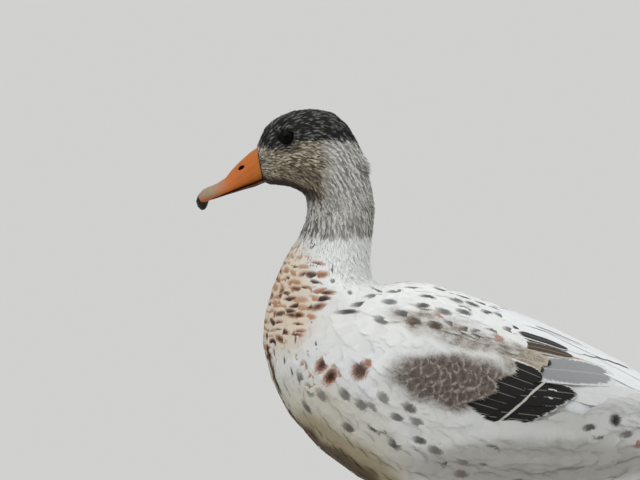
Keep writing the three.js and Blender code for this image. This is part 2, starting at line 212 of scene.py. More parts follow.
def remesh(obj, voxel):
    """Turns overlapping or close solids into one even surface."""
    remesher = obj.modifiers.new("even", "REMESH")
    remesher.mode = "VOXEL"
    remesher.voxel_size = voxel * MM
    remesher.use_smooth_shade = True
    graph = bpy.context.evaluated_depsgraph_get()
    mesh = bpy.data.meshes.new_from_object(obj.evaluated_get(graph))
    obj.modifiers.clear()
    obj.data = mesh


def relaxed(points, edges, pull=0.5):
    """Points moved by this share of the way to the mean of their neighbours."""
    count = np.bincount(edges.ravel(), minlength=len(points))[:, None]
    total = np.zeros_like(points)
    for one, other in (edges.T, edges.T[::-1]):
        for axis in range(3):
            total[:, axis] += np.bincount(one, points[other, axis], len(points))
    return points + pull * (total / np.maximum(count, 1) - points)


def smooth_mesh(obj, rounds, push=0.53):
    """Smooths a mesh without shrinking it much: each pull is followed by a slightly stronger push."""
    edges = fetch(obj.data.edges, "vertices", 2, np.int32)
    points = read_points(obj.data)
    for _ in range(rounds):
        points = relaxed(relaxed(points, edges), edges, -push)
    write_points(obj.data, points)


# ------------------------------------------------------------------ the skin

WING_PARTS = ("coverts", "speculum", "tertials", "primaries")
FLESH = (["trunk", "neck", "head"] + [f"wing_{side}_{part}" for side in SIDES for part in WING_PARTS]
         + [f"leg_{side}_thigh" for side in SIDES])
SKIN_VOXEL = 2.2
BODY_COAT, NECK_COAT, HEAD_COAT, FACE_COAT, LEG_COAT = 5.0, 2.6, 1.5, 0.5, 2.0     # depths over the skin


def coat_depth(points):
    """How deep the skin lies under the coat's surface."""
    height = points[:, 2]
    from_bill = side_distance(points, (BILL_HIGH[1], (BILL_LOW[2] + BILL_HIGH[2]) / 2))
    depth = BODY_COAT + (NECK_COAT - BODY_COAT) * step(NECK_LOW[2] - 20, NECK_LOW[2] + 15, height)
    depth += (HEAD_COAT - NECK_COAT) * step(NECK_HIGH[2] - 12, NECK_HIGH[2] + 12, height)
    face = 1 - step(14, 30, from_bill)
    depth += (FACE_COAT - depth) * face
    leg = 1 - step(62, 84, height)
    return depth + (LEG_COAT - depth) * leg


def make_skin():
    """One skin for all flesh, inside it by the coat's depth, with the plumage's own markings and its painted
    shade.
    """
    skin = joined_copy("skin", FLESH)
    remesh(skin, SKIN_VOXEL)
    smooth_mesh(skin, 12)
    points = read_points(skin.data)
    normals = fetch(skin.data.vertex_normals, "vector", 3)
    write_points(skin.data, points - normals * coat_depth(points)[:, None])
    smooth_mesh(skin, 4)
    bpy.context.view_layer.objects.active = skin
    bpy.ops.object.mode_set(mode="EDIT")
    bpy.ops.mesh.select_all(action="SELECT")
    bpy.ops.uv.smart_project(angle_limit=1.15, island_margin=0.002, scale_to_bounds=True)
    bpy.ops.object.mode_set(mode="OBJECT")
    skin.data.uv_layers[0].name = "OFBake"
    give_attribute(skin, "tone", "POINT", plumage_tone(read_points(skin.data)))
    finish_piece(skin, skin_material(), FLESH)
    return skin


BESIDE, ABOVE = 300, 400       # where looks at the duck's sides and at its back start


class Surface:
    """The skin as the feathers see it: nearest points, smooth normals, places on its unwrap."""

    def __init__(self, obj):
        mesh = obj.data
        mesh.calc_loop_triangles()
        self.points = read_points(mesh)
        self.triangles = fetch(mesh.loop_triangles, "vertices", 3, np.int32)
        corners = fetch(mesh.loop_triangles, "loops", 3, np.int32)
        self.unwrap = fetch(mesh.uv_layers["OFBake"].uv, "vector", 2)[corners].mean(1)
        normals = fetch(mesh.vertex_normals, "vector", 3).astype(float)
        edges = fetch(mesh.edges, "vertices", 2, np.int32)
        for _ in range(8):
            normals = relaxed(normals, edges)
        self.face_normals = unit(unit(normals)[self.triangles].mean(1))
        a, b, c = (self.points[self.triangles[:, i]] for i in range(3))
        self.areas = np.linalg.norm(np.cross(b - a, c - a), axis=1) / 2
        self.middles = (a + b + c) / 3
        self.tree = BVHTree.FromPolygons(self.points.tolist(), self.triangles.tolist())

    def nearest(self, points):
        """The nearest points on the skin, their smooth normals and their triangles."""
        found = [self.tree.find_nearest(Vector(p)) for p in points]
        index = np.array([hit[2] for hit in found])
        return np.array([hit[0] for hit in found]), self.face_normals[index], index

    def seen(self, places, axis, outside, inside):
        """Where a look from outside, along the axis, first meets the skin, or the skin nearest to inside."""
        way = Vector(np.eye(3)[axis] * np.sign(inside - outside))
        starts, middles = (np.insert(places, axis, depth, axis=1) for depth in (outside, inside))
        found = []
        for start, middle in zip(starts, middles):
            hit = self.tree.ray_cast(Vector(start), way)[0]
            found.append(hit or self.tree.find_nearest(Vector(middle))[0])
        return np.array(found)

    def from_side(self, places, side):
        """What the left (side 1) or right (side -1) shows at each place [y, z]."""
        return self.seen(places, 0, side * BESIDE, side * 15)

    def from_above(self, places):
        """What shows from above at each place [x, y]."""
        return self.seen(places, 2, ABOVE, 160)

    def scatter(self, spacing, density, seed):
        """Random points no closer than spacing where density is 1, and further apart where it is less.

        density is worked out at the middles of triangles; 0 leaves a place bare.
        """
        draw = np.random.default_rng(seed)
        wanted = density(self.middles)
        weight = self.areas * wanted
        count = int(weight.sum() / spacing ** 2 * 5)
        index = draw.choice(len(weight), count, p=weight / weight.sum())
        r, s = np.sqrt(draw.random(count)), draw.random(count)
        a, b, c = (self.points[self.triangles[index, i]] for i in range(3))
        points = a * (1 - r)[:, None] + b * (r * (1 - s))[:, None] + c * (r * s)[:, None]
        reach = spacing / np.sqrt(np.maximum(wanted[index], 0.05))
        kept = thinned(points, reach)
        return points[kept], self.face_normals[index[kept]], self.unwrap[index[kept]]


def thinned(points, reach):
    """Indices of points that keep their distance from all that were kept before them."""
    cells, kept = {}, []
    keys = np.floor(points / reach.max()).astype(int).tolist()
    around = list(product((-1, 0, 1), repeat=3))
    for n, (key, point, distance) in enumerate(zip(keys, points.tolist(), (reach ** 2).tolist())):
        x, y, z = point
        near = chain.from_iterable(cells.get((key[0] + i, key[1] + j, key[2] + k), ()) for i, j, k in around)
        if all((x - p[0]) ** 2 + (y - p[1]) ** 2 + (z - p[2]) ** 2 >= distance for p in near):
            cells.setdefault(tuple(key), []).append(point)
            kept.append(n)
    return np.array(kept)


# ------------------------------------------------------------------ how the feathers lie

# Places in side view [y, z] and the way the feathers point there [y, z].
LIE = [
    ((-158, 345), (0.45, 0.9)), ((-150, 362), (0.7, 0.7)), ((-118, 372), (1, 0)),        # forehead, crown
    ((-93, 362), (0.6, -0.8)), ((-80, 338), (0.35, -0.94)), ((-150, 335), (1, 0.05)),    # nape, lore
    ((-136, 352), (1, 0.1)), ((-120, 335), (0.97, -0.25)), ((-145, 317), (1, -0.1)),     # eye, cheek, chin
    ((-124, 310), (0.5, -0.87)), ((-97, 325), (0.5, -0.87)), ((-97, 290), (0.03, -1)),   # throat, neck
    ((-135, 262), (-0.4, -0.9)), ((-105, 262), (-0.05, -1)), ((-76, 262), (0.1, -1)),    # foot of the neck
    ((-72, 247), (0.75, -0.6)), ((-155, 205), (0.05, -1)), ((-120, 225), (0.12, -1)),    # breast
    ((-146, 165), (0.35, -0.94)), ((-125, 135), (0.65, -0.76)), ((-60, 95), (0.93, -0.35)),
    ((0, 77), (1, 0)), ((90, 90), (0.95, 0.3)), ((150, 125), (0.85, 0.5)),               # belly, vent
    ((-85, 200), (0.75, -0.65)), ((-90, 160), (0.85, -0.5)), ((0, 120), (0.98, -0.15)),  # shoulder, flank
    ((80, 120), (0.98, 0.15)), ((-20, 180), (0.93, -0.35)), ((-20, 225), (0.93, -0.37)),
    ((0, 236), (0.95, -0.3)), ((100, 190), (0.92, -0.4)), ((160, 158), (0.98, -0.2)),    # back, rump
    ((0, 55), (0.3, -1)),                                                                # thigh
]
LIE_PLACES = np.array([place for place, _ in LIE], float)
LIE_WAYS = unit(np.array([way for _, way in LIE], float))


def lie_at(points, normals):
    """The way the feathers point at these points: the nearest ways of LIE, turned into the surface."""
    ways = unit(blended(points, LIE_PLACES, LIE_WAYS, 30, 1.6))
    flat = np.insert(ways, 0, 0, axis=1)
    return unit(flat - dot(flat, normals) * normals)


# ------------------------------------------------------------------ feathers as mesh

class Kind:
    """The shape that a kind of feather shares: half width and lift along it, camber across it."""

    def __init__(self, along, widths, across=3, camber=0.3, lift=(0, 1), soft=0.7, patch=0.003, barbs=(),
                 rimmed=False):
        self.along = np.array(along, float)      # shares of the length, root to tip
        self.widths = np.array(widths, float)    # shares of the half width at each
        self.across = np.linspace(-1, 1, across)
        self.camber = camber                     # how far the shaft stands over the edges, in half widths
        self.lift = np.interp(self.along, np.linspace(0, 1, len(lift)), lift)   # height in coat depths
        self.soft = soft                         # how far the shading follows the body, not the vane
        self.patch = patch                       # size of a feather's patch on the unwrap
        self.barbs = np.array(barbs, float)      # loose barbs at the rim: share of length, v, slant
        self.rimmed = rimmed                     # whether marks follow the vane's outline

    def triangles(self):
        """How many triangles one feather has."""
        stations, across = len(self.along), len(self.across)
        return 2 * (stations - 1) * across + 2 * (across - 2) + 4 * len(self.barbs)


def laid_lines(surface, roots, ways, lengths, along):
    """Middle lines on the skin: points, normals and ways, each shaped (feathers, stations, 3)."""
    points, normals, _ = surface.nearest(roots)
    way = unit(ways - dot(ways, normals) * normals)
    lines = [(points, normals, way)]
    for share in np.diff(along):
        ahead = points + way * (lengths * share)[:, None]
        points, normals, _ = surface.nearest(ahead)
        # Over the rump and under the tail the feathers run on past the skin.
        gap = np.linalg.norm(ahead - points, axis=1)
        free = (step(0.3, 1.2, gap) * step(TAIL_LOW[1] - 45, TAIL_LOW[1] - 20, ahead[:, 1]))[:, None]
        points = points * (1 - free) + ahead * free
        way = unit(way - dot(way, normals) * normals * (1 - free))
        lines.append((points, normals, way))
    return [np.stack(part, 1) for part in zip(*lines)]


def drawn_lines(surface, roots, tips, along):
    """Middle lines between given ends: they lie on the skin and leave it where the chord does."""
    shares = along[None, :, None]
    chord = roots[:, None] * (1 - shares) + tips[:, None] * shares
    points, normals, _ = surface.nearest(chord.reshape(-1, 3))
    points, normals = points.reshape(chord.shape), normals.reshape(chord.shape)
    free = step(1, 9, dot(chord - points, normals))
    points = points * (1 - free) + chord * free
    for _ in range(3):
        normals[:, 1:-1] = unit(normals[:, :-2] + 2 * normals[:, 1:-1] + normals[:, 2:])
    ways = unit(np.gradient(points, axis=1))
    return [points, unit(normals - dot(normals, ways) * ways), ways]


def vanes(points, normals, ways, half_widths, heights, kind):
    """Vertices and shading normals of closed vanes, each shaped (feathers, stations, across, 3)."""
    sides = np.cross(ways, normals)
    width = half_widths[:, None] * kind.widths
    v = kind.across
    rise = heights[:, :, None] - (kind.camber * width[:, :, None] + 0.06) * v ** 2
    vertices = (points[:, :, None] + sides[:, :, None] * (width[:, :, None] * v)[..., None]
                + normals[:, :, None] * rise[..., None])
    slope = 2 * kind.camber * v
    tips = np.gradient(vertices[:, :, len(v) // 2], axis=1)
    own = unit(np.cross(sides, tips))
    own = unit(own[:, :, None] + sides[:, :, None] * slope[None, None, :, None])
    shading = unit(own * (1 - kind.soft) + normals[:, :, None] * kind.soft)
    return vertices, shading


def vane_faces(count, stations, across):
    """Faces of that many closed vanes: upper quads, lower quads, root caps and tip caps."""
    first = (np.arange(count) * stations * across)[:, None, None]
    k = np.arange(stations - 1)[:, None] * across
    j = np.arange(across - 1)
    corner = first + k + j
    upper = np.stack([corner, corner + 1, corner + across + 1, corner + across], -1).reshape(-1, 4)
    left = first[:, :, 0] + k[:, 0]
    lower = np.stack([left, left + across, left + 2 * across - 1, left + across - 1], -1).reshape(-1, 4)
    root = first[:, 0] + np.arange(across)[::-1]
    tip = first[:, 0] + (stations - 1) * across + np.arange(across)
    return upper, lower, root, tip


def loose_barbs(vertices, normals, ways, lengths, half_widths, kind, draw):
    """Thin teeth that fray the rim: corners shaped (feathers, barbs, 4, 3) and their normals."""
    shares, v, slant = kind.barbs.T
    station = np.interp(shares, kind.along, np.arange(len(kind.along)))
    k, column = station.astype(int), (v + 1) / 2 * (len(kind.across) - 1)
    k = np.minimum(k, len(kind.along) - 2)
    j = np.minimum(column.astype(int), len(kind.across) - 2)
    part, side_part = (station - k)[:, None], (column - j)[:, None]
    near = vertices[:, k, j] * (1 - side_part) + vertices[:, k, j + 1] * side_part
    far = vertices[:, k + 1, j] * (1 - side_part) + vertices[:, k + 1, j + 1] * side_part
    base = near * (1 - part) + far * part
    normal, way = normals[:, k], ways[:, k]
    shape = (*base.shape[:2], 1)
    turn = np.radians(slant)[None, :, None] + draw.normal(0, 0.12, shape)
    ahead = way * np.cos(turn) + np.cross(way, normal) * np.sin(turn)
    beside = np.cross(ahead, normal)
    length = lengths[:, None, None] * draw.uniform(0.09, 0.18, shape)
    width = half_widths[:, None, None] * draw.uniform(0.04, 0.075, shape)
    start = base - ahead * 0.25 * length
    tip = base + ahead * length - normal * draw.uniform(0.1, 0.4, shape)
    corners = np.stack([start - beside * width, start + normal * 0.1, start + beside * width, tip], 2)
    return corners, normal[:, :, None].repeat(4, 2)


def mark_sharp(obj, stations, across, vane_points):
    """Marks the edges between the upper and the lower side of every vane and barb as sharp."""
    edges = fetch(obj.data.edges, "vertices", 2, np.int32)
    column, station = edges % across, edges // across % stations
    side = (column[:, 0] == column[:, 1]) & (column[:, 0] % (across - 1) == 0)
    end = (station[:, 0] == station[:, 1]) & (station[:, 0] % (stations - 1) == 0)
    corner = np.sort((edges - vane_points) % 4, axis=1)
    ridge = (corner[:, 0] == 1) & (corner[:, 1] == 3)
    sharp = np.where(edges[:, 0] < vane_points, side | end, ~ridge)
    obj.data.attributes.new("sharp_edge", "BOOLEAN", "EDGE").data.foreach_set("value", sharp)


def vane_mesh(lines, half_widths, heights, kind):
    """Closed vanes: points and their places [v, u] by feather, faces, and a normal for each face's corner."""
    vertices, shading = vanes(*lines, half_widths, heights, kind)
    count, stations, across = vertices.shape[:3]
    faces = vane_faces(count, stations, across)
    # The rim is sharp and each face keeps its own side's shading, so that the rim doesn't look dark.
    over, under = shading.reshape(-1, 3), np.repeat(-lines[1], across, 1).reshape(-1, 3)
    corner_normals = [shade[group] for shade, group in zip((over, under, under, over), faces)]
    v, u = np.meshgrid(kind.across, kind.along)
    if not kind.rimmed:
        v = v * kind.widths[:, None]
    vane = np.stack([v, u], -1).reshape(1, -1, 2).repeat(count, 0)
    return vertices, vane, list(faces), corner_normals


def barb_mesh(lines, vertices, half_widths, kind, draw):
    """Loose barbs for these vanes, as vane_mesh gives them; their points come after those of all vanes."""
    points, normals, ways = lines
    lengths = np.linalg.norm(np.diff(points, axis=1), axis=2).sum(1)
    spikes, shading = loose_barbs(vertices, normals, ways, lengths, half_widths, kind, draw)
    first = 4 * np.arange(len(points) * len(kind.barbs))[:, None]
    triangles = [first + np.array(corners) for corners in ((0, 1, 3), (1, 2, 3), (0, 3, 2), (0, 2, 1))]
    shading = shading.reshape(-1, 3)
    corner_normals = [sign * shading[group] for group, sign in zip(triangles, (1, 1, -1, -1))]
    share, v, _ = kind.barbs.T
    vane = np.stack([v * np.interp(share, kind.along, kind.widths), share], -1)
    vane = vane.repeat(4, 0)[None].repeat(len(points), 0)
    on_vanes = vertices[..., 0].size
    return spikes.reshape(len(points), -1, 3), vane, [group + on_vanes for group in triangles], corner_normals


def feather_piece(name, material, lines, half_widths, heights, kind, places, paint, replaced=()):
    """Makes one object of many feathers.

    lines are their middle lines' points, normals and ways. paint gives the looks of each feather or of each
    of its points, from the points and their places on the vane.
    """
    count, stations = lines[0].shape[:2]
    on_vane = stations * len(kind.across)
    draw = np.random.default_rng(len(name) + count)
    grid, vane, faces, corner_normals = vane_mesh(lines, half_widths, heights, kind)
    vertices = grid.reshape(count, -1, 3)
    if len(kind.barbs):
        spikes, spike_vane, triangles, spike_normals = barb_mesh(lines, grid, half_widths, kind, draw)
        vertices, vane = np.concatenate([vertices, spikes], 1), np.concatenate([vane, spike_vane], 1)
        faces, corner_normals = faces + triangles, corner_normals + spike_normals

    def by_vertex(values):
        """Orders one row for each feather and point as the vertices are: all vanes, then all barbs."""
        parts = values[:, :on_vane], values[:, on_vane:]
        return np.concatenate([part.reshape(-1, values.shape[-1]) for part in parts])

    obj = new_mesh(name, by_vertex(vertices), faces)
    mark_sharp(obj, stations, len(kind.across), count * on_vane)
    give_attribute(obj, "custom_normal", "CORNER",
                   np.concatenate([group.reshape(-1, 3) for group in corner_normals]))
    place = by_vertex(places[:, None] + kind.patch * (vane - (0, 0.5)) * (0.5, 1))
    give_uv(obj, np.concatenate([place[group].reshape(-1, 2) for group in faces]))
    chance = np.broadcast_to(draw.random(count)[:, None, None], (*vane.shape[:2], 1))
    looks = {"vane": np.concatenate([vane, chance], 2), **paint(vertices, vane)}
    for key, value in looks.items():
        full = np.broadcast_to(value, (*vane.shape[:2], value.shape[-1]))
        give_attribute(obj, key, "POINT", by_vertex(full))
    finish_piece(obj, material, replaced)


# ------------------------------------------------------------------ materials

class Field:
    """The value of a socket in a node tree, so that sums are written as they read."""

    def __init__(self, shader, socket):
        self.shader, self.socket = shader, socket

    def math(self, operation, other=0.0):
        return self.shader.field("Math", 0, {0: self, 1: other}, operation=operation)

    def __add__(self, other):
        return self.math("ADD", other)

    def __sub__(self, other):
        return self.math("SUBTRACT", other)

    def __mul__(self, other):
        return self.math("MULTIPLY", other)

    def size(self):
        return self.math("ABSOLUTE")

    def rise(self, low, high, to_low=0.0, to_high=1.0):
        """A smooth step from to_low at low to to_high at high."""
        inputs = {"Value": self, "From Min": low, "From Max": high, "To Min": to_low, "To Max": to_high}
        return self.shader.field("MapRange", "Result", inputs, interpolation_type="SMOOTHSTEP")


class Shader:
    """A material's node tree, built with short calls that take numbers, colours and fields alike."""

    def __init__(self, name):
        self.material = bpy.data.materials.new(name)
        self.material.use_nodes = True
        self.tree = self.material.node_tree
        self.tree.nodes.clear()

    def node(self, kind, inputs=None, **settings):
        made = self.tree.nodes.new(f"ShaderNode{kind}")
        for key, value in settings.items():
            setattr(made, key, value)
        for key, value in (inputs or {}).items():
            if isinstance(value, Field):
                self.tree.links.new(value.socket, made.inputs[key])
            else:
                made.inputs[key].default_value = (*value, 1) if isinstance(value, np.ndarray) else value
        return made

    def field(self, kind, output, inputs=None, **settings):
        return Field(self, self.node(kind, inputs, **settings).outputs[output])

    def length(self, vector):
        return self.field("VectorMath", "Value", {0: vector}, operation="LENGTH")

    def mix(self, share, a, b, blend="MIX"):
        return self.field("Mix", 2, {0: share, 6: a, 7: b}, data_type="RGBA", blend_type=blend)

    def dimmed(self, colour, level):
        return self.mix(1.0, colour, self.vector(level, level, level), "MULTIPLY")

    def noise(self, vector, scale, detail=2.0, roughness=0.5):
        inputs = {"Vector": vector, "Scale": scale, "Detail": detail, "Roughness": roughness}
        return self.field("TexNoise", 0, inputs)

    def vector(self, x, y, z=0.0):
        return self.field("CombineXYZ", 0, {0: x, 1: y, 2: z})

    def attribute(self, name, output):
        return self.field("Attribute", output, attribute_name=name)

    def split(self, vector):
        return [Field(self, socket) for socket in self.node("SeparateXYZ", {0: vector}).outputs]

    def place(self):
        return self.field("TexCoord", "Object")

    def bump(self, height, distance, strength=1.0):
        return self.field("Bump", 0, {"Height": height, "Distance": distance * MM, "Strength": strength})

    def surface(self, colour, roughness, gloss, relief=None):
        """Ends the tree in a Principled shader and returns the material."""
        inputs = {"Base Color": colour, "Roughness": roughness, "Specular IOR Level": gloss}
        if relief:
            inputs["Normal"] = relief
        self.node("OutputMaterial", {"Surface": self.field("BsdfPrincipled", 0, inputs)})
        return self.material


def mottled(shader, tone, amount):
    """The fine dark peppering of the wing coverts, as strong as amount."""
    place = shader.place()
    grain = shader.noise(place, 900, 3, 0.65) + shader.noise(place, 240, 2, 0.5) * 0.7
    return shader.mix(grain.rise(0.68, 0.98) * amount, tone, srgb(84, 74, 66))


def feather_material(name, barbs, spotted=True, fray=0.9, square=0.0, shaft=0.0, roughness=0.78):
    """Vanes with a tone, peppering, fine barbs, and where wanted a mark each and a pale shaft.

    barbs is how many show along a vane, fray how ragged the marks are, square how far they are boxes and
    not ovals, and shaft how strong the shaft is.
    """
    shader = Shader(name)
    tone, peppering = shader.attribute("tone", "Color"), shader.attribute("tone", "Alpha")
    v, u, chance = shader.split(shader.attribute("vane", "Vector"))
    strands = shader.noise(shader.vector(v * 1.3, (u - v.size() * 0.15) * barbs, chance * 90), 1.0)
    rim = shader.length(shader.vector(v, u * 2.0 - 1.0))
    broken = shader.noise(shader.place(), 330, 2).rise(0.42, 0.62, 0.05, 0.6)
    colour = shader.mix(peppering * chance.rise(0.0, 1.0, 0.0, 0.45), tone, srgb(92, 82, 74))
    colour = shader.mix(peppering * rim.rise(0.7, 1.0) * broken, colour, srgb(196, 188, 176))
    colour = mottled(shader, colour, peppering * rim.rise(1.0, 0.7, 0.1, 1.0))
    if spotted:
        colour = spotted_colour(shader, colour, strands, fray, square)
    if shaft:
        colour = shader.mix(v.size().rise(0.07, 0.02) * shaft, colour, srgb(205, 200, 190))
    colour = shader.dimmed(colour, chance * 0.05 + strands * 0.16 + 0.86)
    return shader.surface(colour, roughness, 0.25, shader.bump(strands, 0.12, 0.5))


def spotted_colour(shader, colour, strands, fray, square):
    """Lays each vane's own mark over a colour, frayed along the barbs and darker at its core."""
    mark, strength = shader.attribute("mark", "Color"), shader.attribute("mark", "Alpha")
    along, across, core = shader.split(shader.attribute("spot", "Vector"))
    reach = shader.length(shader.vector(along, across))
    if square:
        box = along.size().math("MAXIMUM", across.size())
        reach = (box - reach) * square + reach
    else:
        strength = strength * along.rise(-1.4, 0.1, 0.3, 1.0)      # it fades towards the feather's root
    frayed = strands * (1.6 * fray) + (reach - 0.8 * fray)
    colour = shader.mix(frayed.rise(1 + fray / 4, 1 - fray / 3) * strength, colour, mark)
    inside = (core - frayed).rise(-0.3, 0.3) * core.rise(0.02, 0.1)
    return shader.mix(inside * strength, colour, BLACK)


def skin_material():
    """The skin under the coat: the same tones, a little darker, with a fine down."""
    shader = Shader("skin_plumage")
    colour = mottled(shader, shader.attribute("tone", "Color"), shader.attribute("tone", "Alpha"))
    down = shader.noise(shader.place(), 900, 3, 0.6)
    colour = shader.dimmed(colour, down.rise(0.2, 0.8, 0.65, 0.9))
    return shader.surface(colour, 0.9, 0.2, shader.bump(down, 0.3, 0.8))


GAPE_SLOPE = (GAPE[1] - BILL_TIP[1]) / (GAPE[0] - BILL_TIP[0])
TIP_TAN = srgb(158, 134, 108)


def over_gape(y, z, unit_length):
    """How far a point stands over the straight line along the bill's cutting edge."""
    return z - (y * GAPE_SLOPE + (GAPE[1] - GAPE_SLOPE * GAPE[0]) * unit_length)


def bill_material():
    """Orange horn with a painted highlight where the ridge faces up, tan on top of the tip, and a dark crease
    over the cutting edge.
    """
    shader = Shader("bill_orange")
    place = shader.place()
    _, y, z = shader.split(place)
    over = over_gape(y, z, MM)
    cloudy = shader.noise(place, 160, 3, 0.55)
    fine = shader.noise(place, 1500, 2, 0.5)
    # Where the surface faces up, the ridge is made paler: a painted highlight.
    up = shader.split(shader.field("NewGeometry", "Normal"))[2]
    ridge = (cloudy * 0.3 + up).rise(0.65, 1.1, 0.0, 0.75)
    low = (cloudy * (2 * MM) + over).rise(6 * MM, 3 * MM)
    by_face = y.rise((GAPE[0] - 10) * MM, (GAPE[0] - 4) * MM) * 0.45
    tip = (cloudy * (-8 * MM) + y).rise((BILL_LOW[1] + 19) * MM, (BILL_LOW[1] + 3) * MM)
    high = (cloudy * (2 * MM) + over).rise(3.5 * MM, 7 * MM)
    crease = (over - 3.6 * MM).size().rise(0.9 * MM, 0.2 * MM)
    crease = crease * y.rise((BILL_TIP[0] + 16) * MM, (BILL_TIP[0] + 32) * MM)
    specks = shader.noise(place, 420, 1).rise(0.73, 0.77)
    colour = srgb(192, 104, 42)
    layers = ((ridge, srgb(160, 118, 90)), (low, srgb(194, 92, 36)),
              (cloudy.rise(0.45, 0.75, 0, 0.5), srgb(172, 92, 44)), (by_face, srgb(186, 120, 44)),
              (tip * high, TIP_TAN), (crease * 0.5, srgb(104, 52, 26)), (specks * 0.8, srgb(92, 58, 36)))
    for share, layer in layers:
        colour = shader.mix(share, colour, layer)
    relief = shader.bump(fine + cloudy * 2.0, 0.15, 0.5)
    return shader.surface(colour, fine.rise(0.3, 0.7, 0.42, 0.58), 0.2, relief)


def nail_material():
    """Dark horn that pales upwards into the tan of the bill's tip."""
    shader = Shader("nail")
    z = shader.split(shader.place())[2]
    cloudy = shader.noise(shader.place(), 300, 3, 0.6)
    colour = shader.mix(cloudy.rise(0.4, 0.7), srgb(20, 15, 11), srgb(42, 32, 25))
    up = (cloudy * (2 * MM) + z).rise((BILL_TIP[1] + 5.8) * MM, (BILL_TIP[1] + 8.3) * MM)
    colour = shader.mix(up, colour, TIP_TAN)
    return shader.surface(colour, cloudy.rise(0.3, 0.7, 0.35, 0.5), 0.3, shader.bump(cloudy, 0.2, 0.5))


def horn_material(name, dark, light, roughness):
    """Dark horn with lighter clouds: the lower bill, the claws, and the nostrils' lining, which is painted
    shade for their hollow.
    """
    shader = Shader(name)
    cloudy = shader.noise(shader.place(), 260, 3, 0.6)
    fine = shader.noise(shader.place(), 1600, 2)
    colour = shader.mix(cloudy.rise(0.42, 0.72), dark, light)
    rough = fine.rise(0.3, 0.7, roughness, roughness + 0.15)
    return shader.surface(colour, rough, 0.3, shader.bump(cloudy, 0.2, 0.5))


def leg_material():
    """Orange skin with small scales and dark grooves between them."""
    shader = Shader("leg_scales")
    place = shader.place()
    cells = shader.field("TexVoronoi", 0, {"Vector": place, "Scale": 620.0}, feature="DISTANCE_TO_EDGE")
    groove = cells.rise(0.0, 0.14)
    cloudy = shader.noise(place, 130, 3, 0.6)
    colour = shader.mix(cloudy.rise(0.35, 0.7), srgb(218, 116, 44), srgb(190, 88, 34))
    colour = shader.mix(groove, srgb(120, 58, 26), colour)
    return shader.surface(colour, cells.rise(0.0, 0.3, 0.6, 0.42), 0.4, shader.bump(groove, 0.15, 0.7))


def eye_material(side):
    """A dark brown iris round a black pupil, under a wet surface."""
    shader = Shader(f"eye_{side}")
    _, y, z = shader.split(shader.place())
    away = shader.length(shader.vector(y - EYE[1] * MM, z - EYE[2] * MM))
    iris = shader.mix(shader.noise(shader.place(), 900, 2), srgb(24, 17, 13), srgb(15, 11, 10))
    colour = shader.mix(away.rise(2.0 * MM, 2.25 * MM), srgb(6, 6, 7), iris)
    colour = shader.mix(away.rise(3.9 * MM, 4.6 * MM), colour, srgb(16, 13, 12))
    return shader.surface(colour, away.rise(0.0, 5 * MM, 0.1, 0.16), 0.05)


def lid_material():
    shader = Shader("eyelid")
    wrinkles = shader.noise(shader.place(), 1400, 3, 0.6)
    colour = shader.mix(wrinkles, srgb(9, 9, 9), srgb(20, 19, 18))
    return shader.surface(colour, 0.8, 0.1, shader.bump(wrinkles, 0.1, 0.6))


# ------------------------------------------------------------------ markings

def oval(points, middle, half, slant=0.0):
    """1 inside a slanted oval of the side view, 0 outside it, with a soft edge."""
    turn = math.radians(slant)
    off = points[:, 1:] - middle
    along = (off[:, 0] * math.cos(turn) + off[:, 1] * math.sin(turn)) / half[0]
    across = (off[:, 1] * math.cos(turn) - off[:, 0] * math.sin(turn)) / half[1]
    return step(1.25, 0.7, np.hypot(along, across))


COVERT_PATCH = ((-12, 182), (48, 18), -8)      # middle, half sizes and slant of the mottled wing coverts

# Soft patches of the side view: colour, peppering, strength, middle, half sizes, slant in degrees.
BODY_PATCHES = [
    (RING_WHITE, 0.0, 1.0, (-88, 262), (24, 24), 0),      # white ring round the neck's foot
    (CREAM, 0.0, 0.8, (-140, 240), (22, 42), 0),          # front of the neck's foot
    (srgb(200, 146, 110), 0.0, 0.18, (-136, 230), (22, 34), 5),     # warm ground of the breast's marks
    (srgb(198, 188, 160), 0.0, 0.5, (-98, 138), (62, 34), -36),    # damp lower breast
    (srgb(160, 144, 108), 0.0, 0.8, (-92, 122), (58, 17), -36),    # stained over its lower edge
    (MUD, 0.0, 1.0, (-96, 115), (56, 11), -36),
    (srgb(176, 160, 130), 0.0, 0.5, (-148, 180), (34, 6), -76),    # damp front of the breast
    (MUD, 0.0, 0.75, (-20, 77), (64, 10), 0),             # and on under the belly
    (BUFF, 0.0, 0.4, (20, 84), (110, 16), 0),             # belly
    (srgb(150, 135, 120), 0.9, 0.65, (-20, 217), (46, 8), -15),    # scapulars
    (srgb(118, 106, 95), 1.0, 1.0, *COVERT_PATCH),
    (srgb(118, 106, 95), 1.0, 0.75, (-12, 182), (44, 15), -8),     # denser towards its middle
    (srgb(160, 150, 130), 0.95, 0.9, (29, 200), (16, 9), -22),     # and pale mottled behind it
    (srgb(164, 160, 150), 0.0, 0.75, (40, 122), (95, 19), 0),      # painted shade on the lower flank
    (srgb(196, 195, 190), 0.0, 0.6, (88, 158), (56, 20), -8),      # and painted shade under the wing tip
]
PALE_CHEEK = ((-88, 335), (27, 14), -42)       # pale streaks from behind the eye
PALE_NAPE = ((-90, 318), (19, 21), 0)          # and down the side of the neck
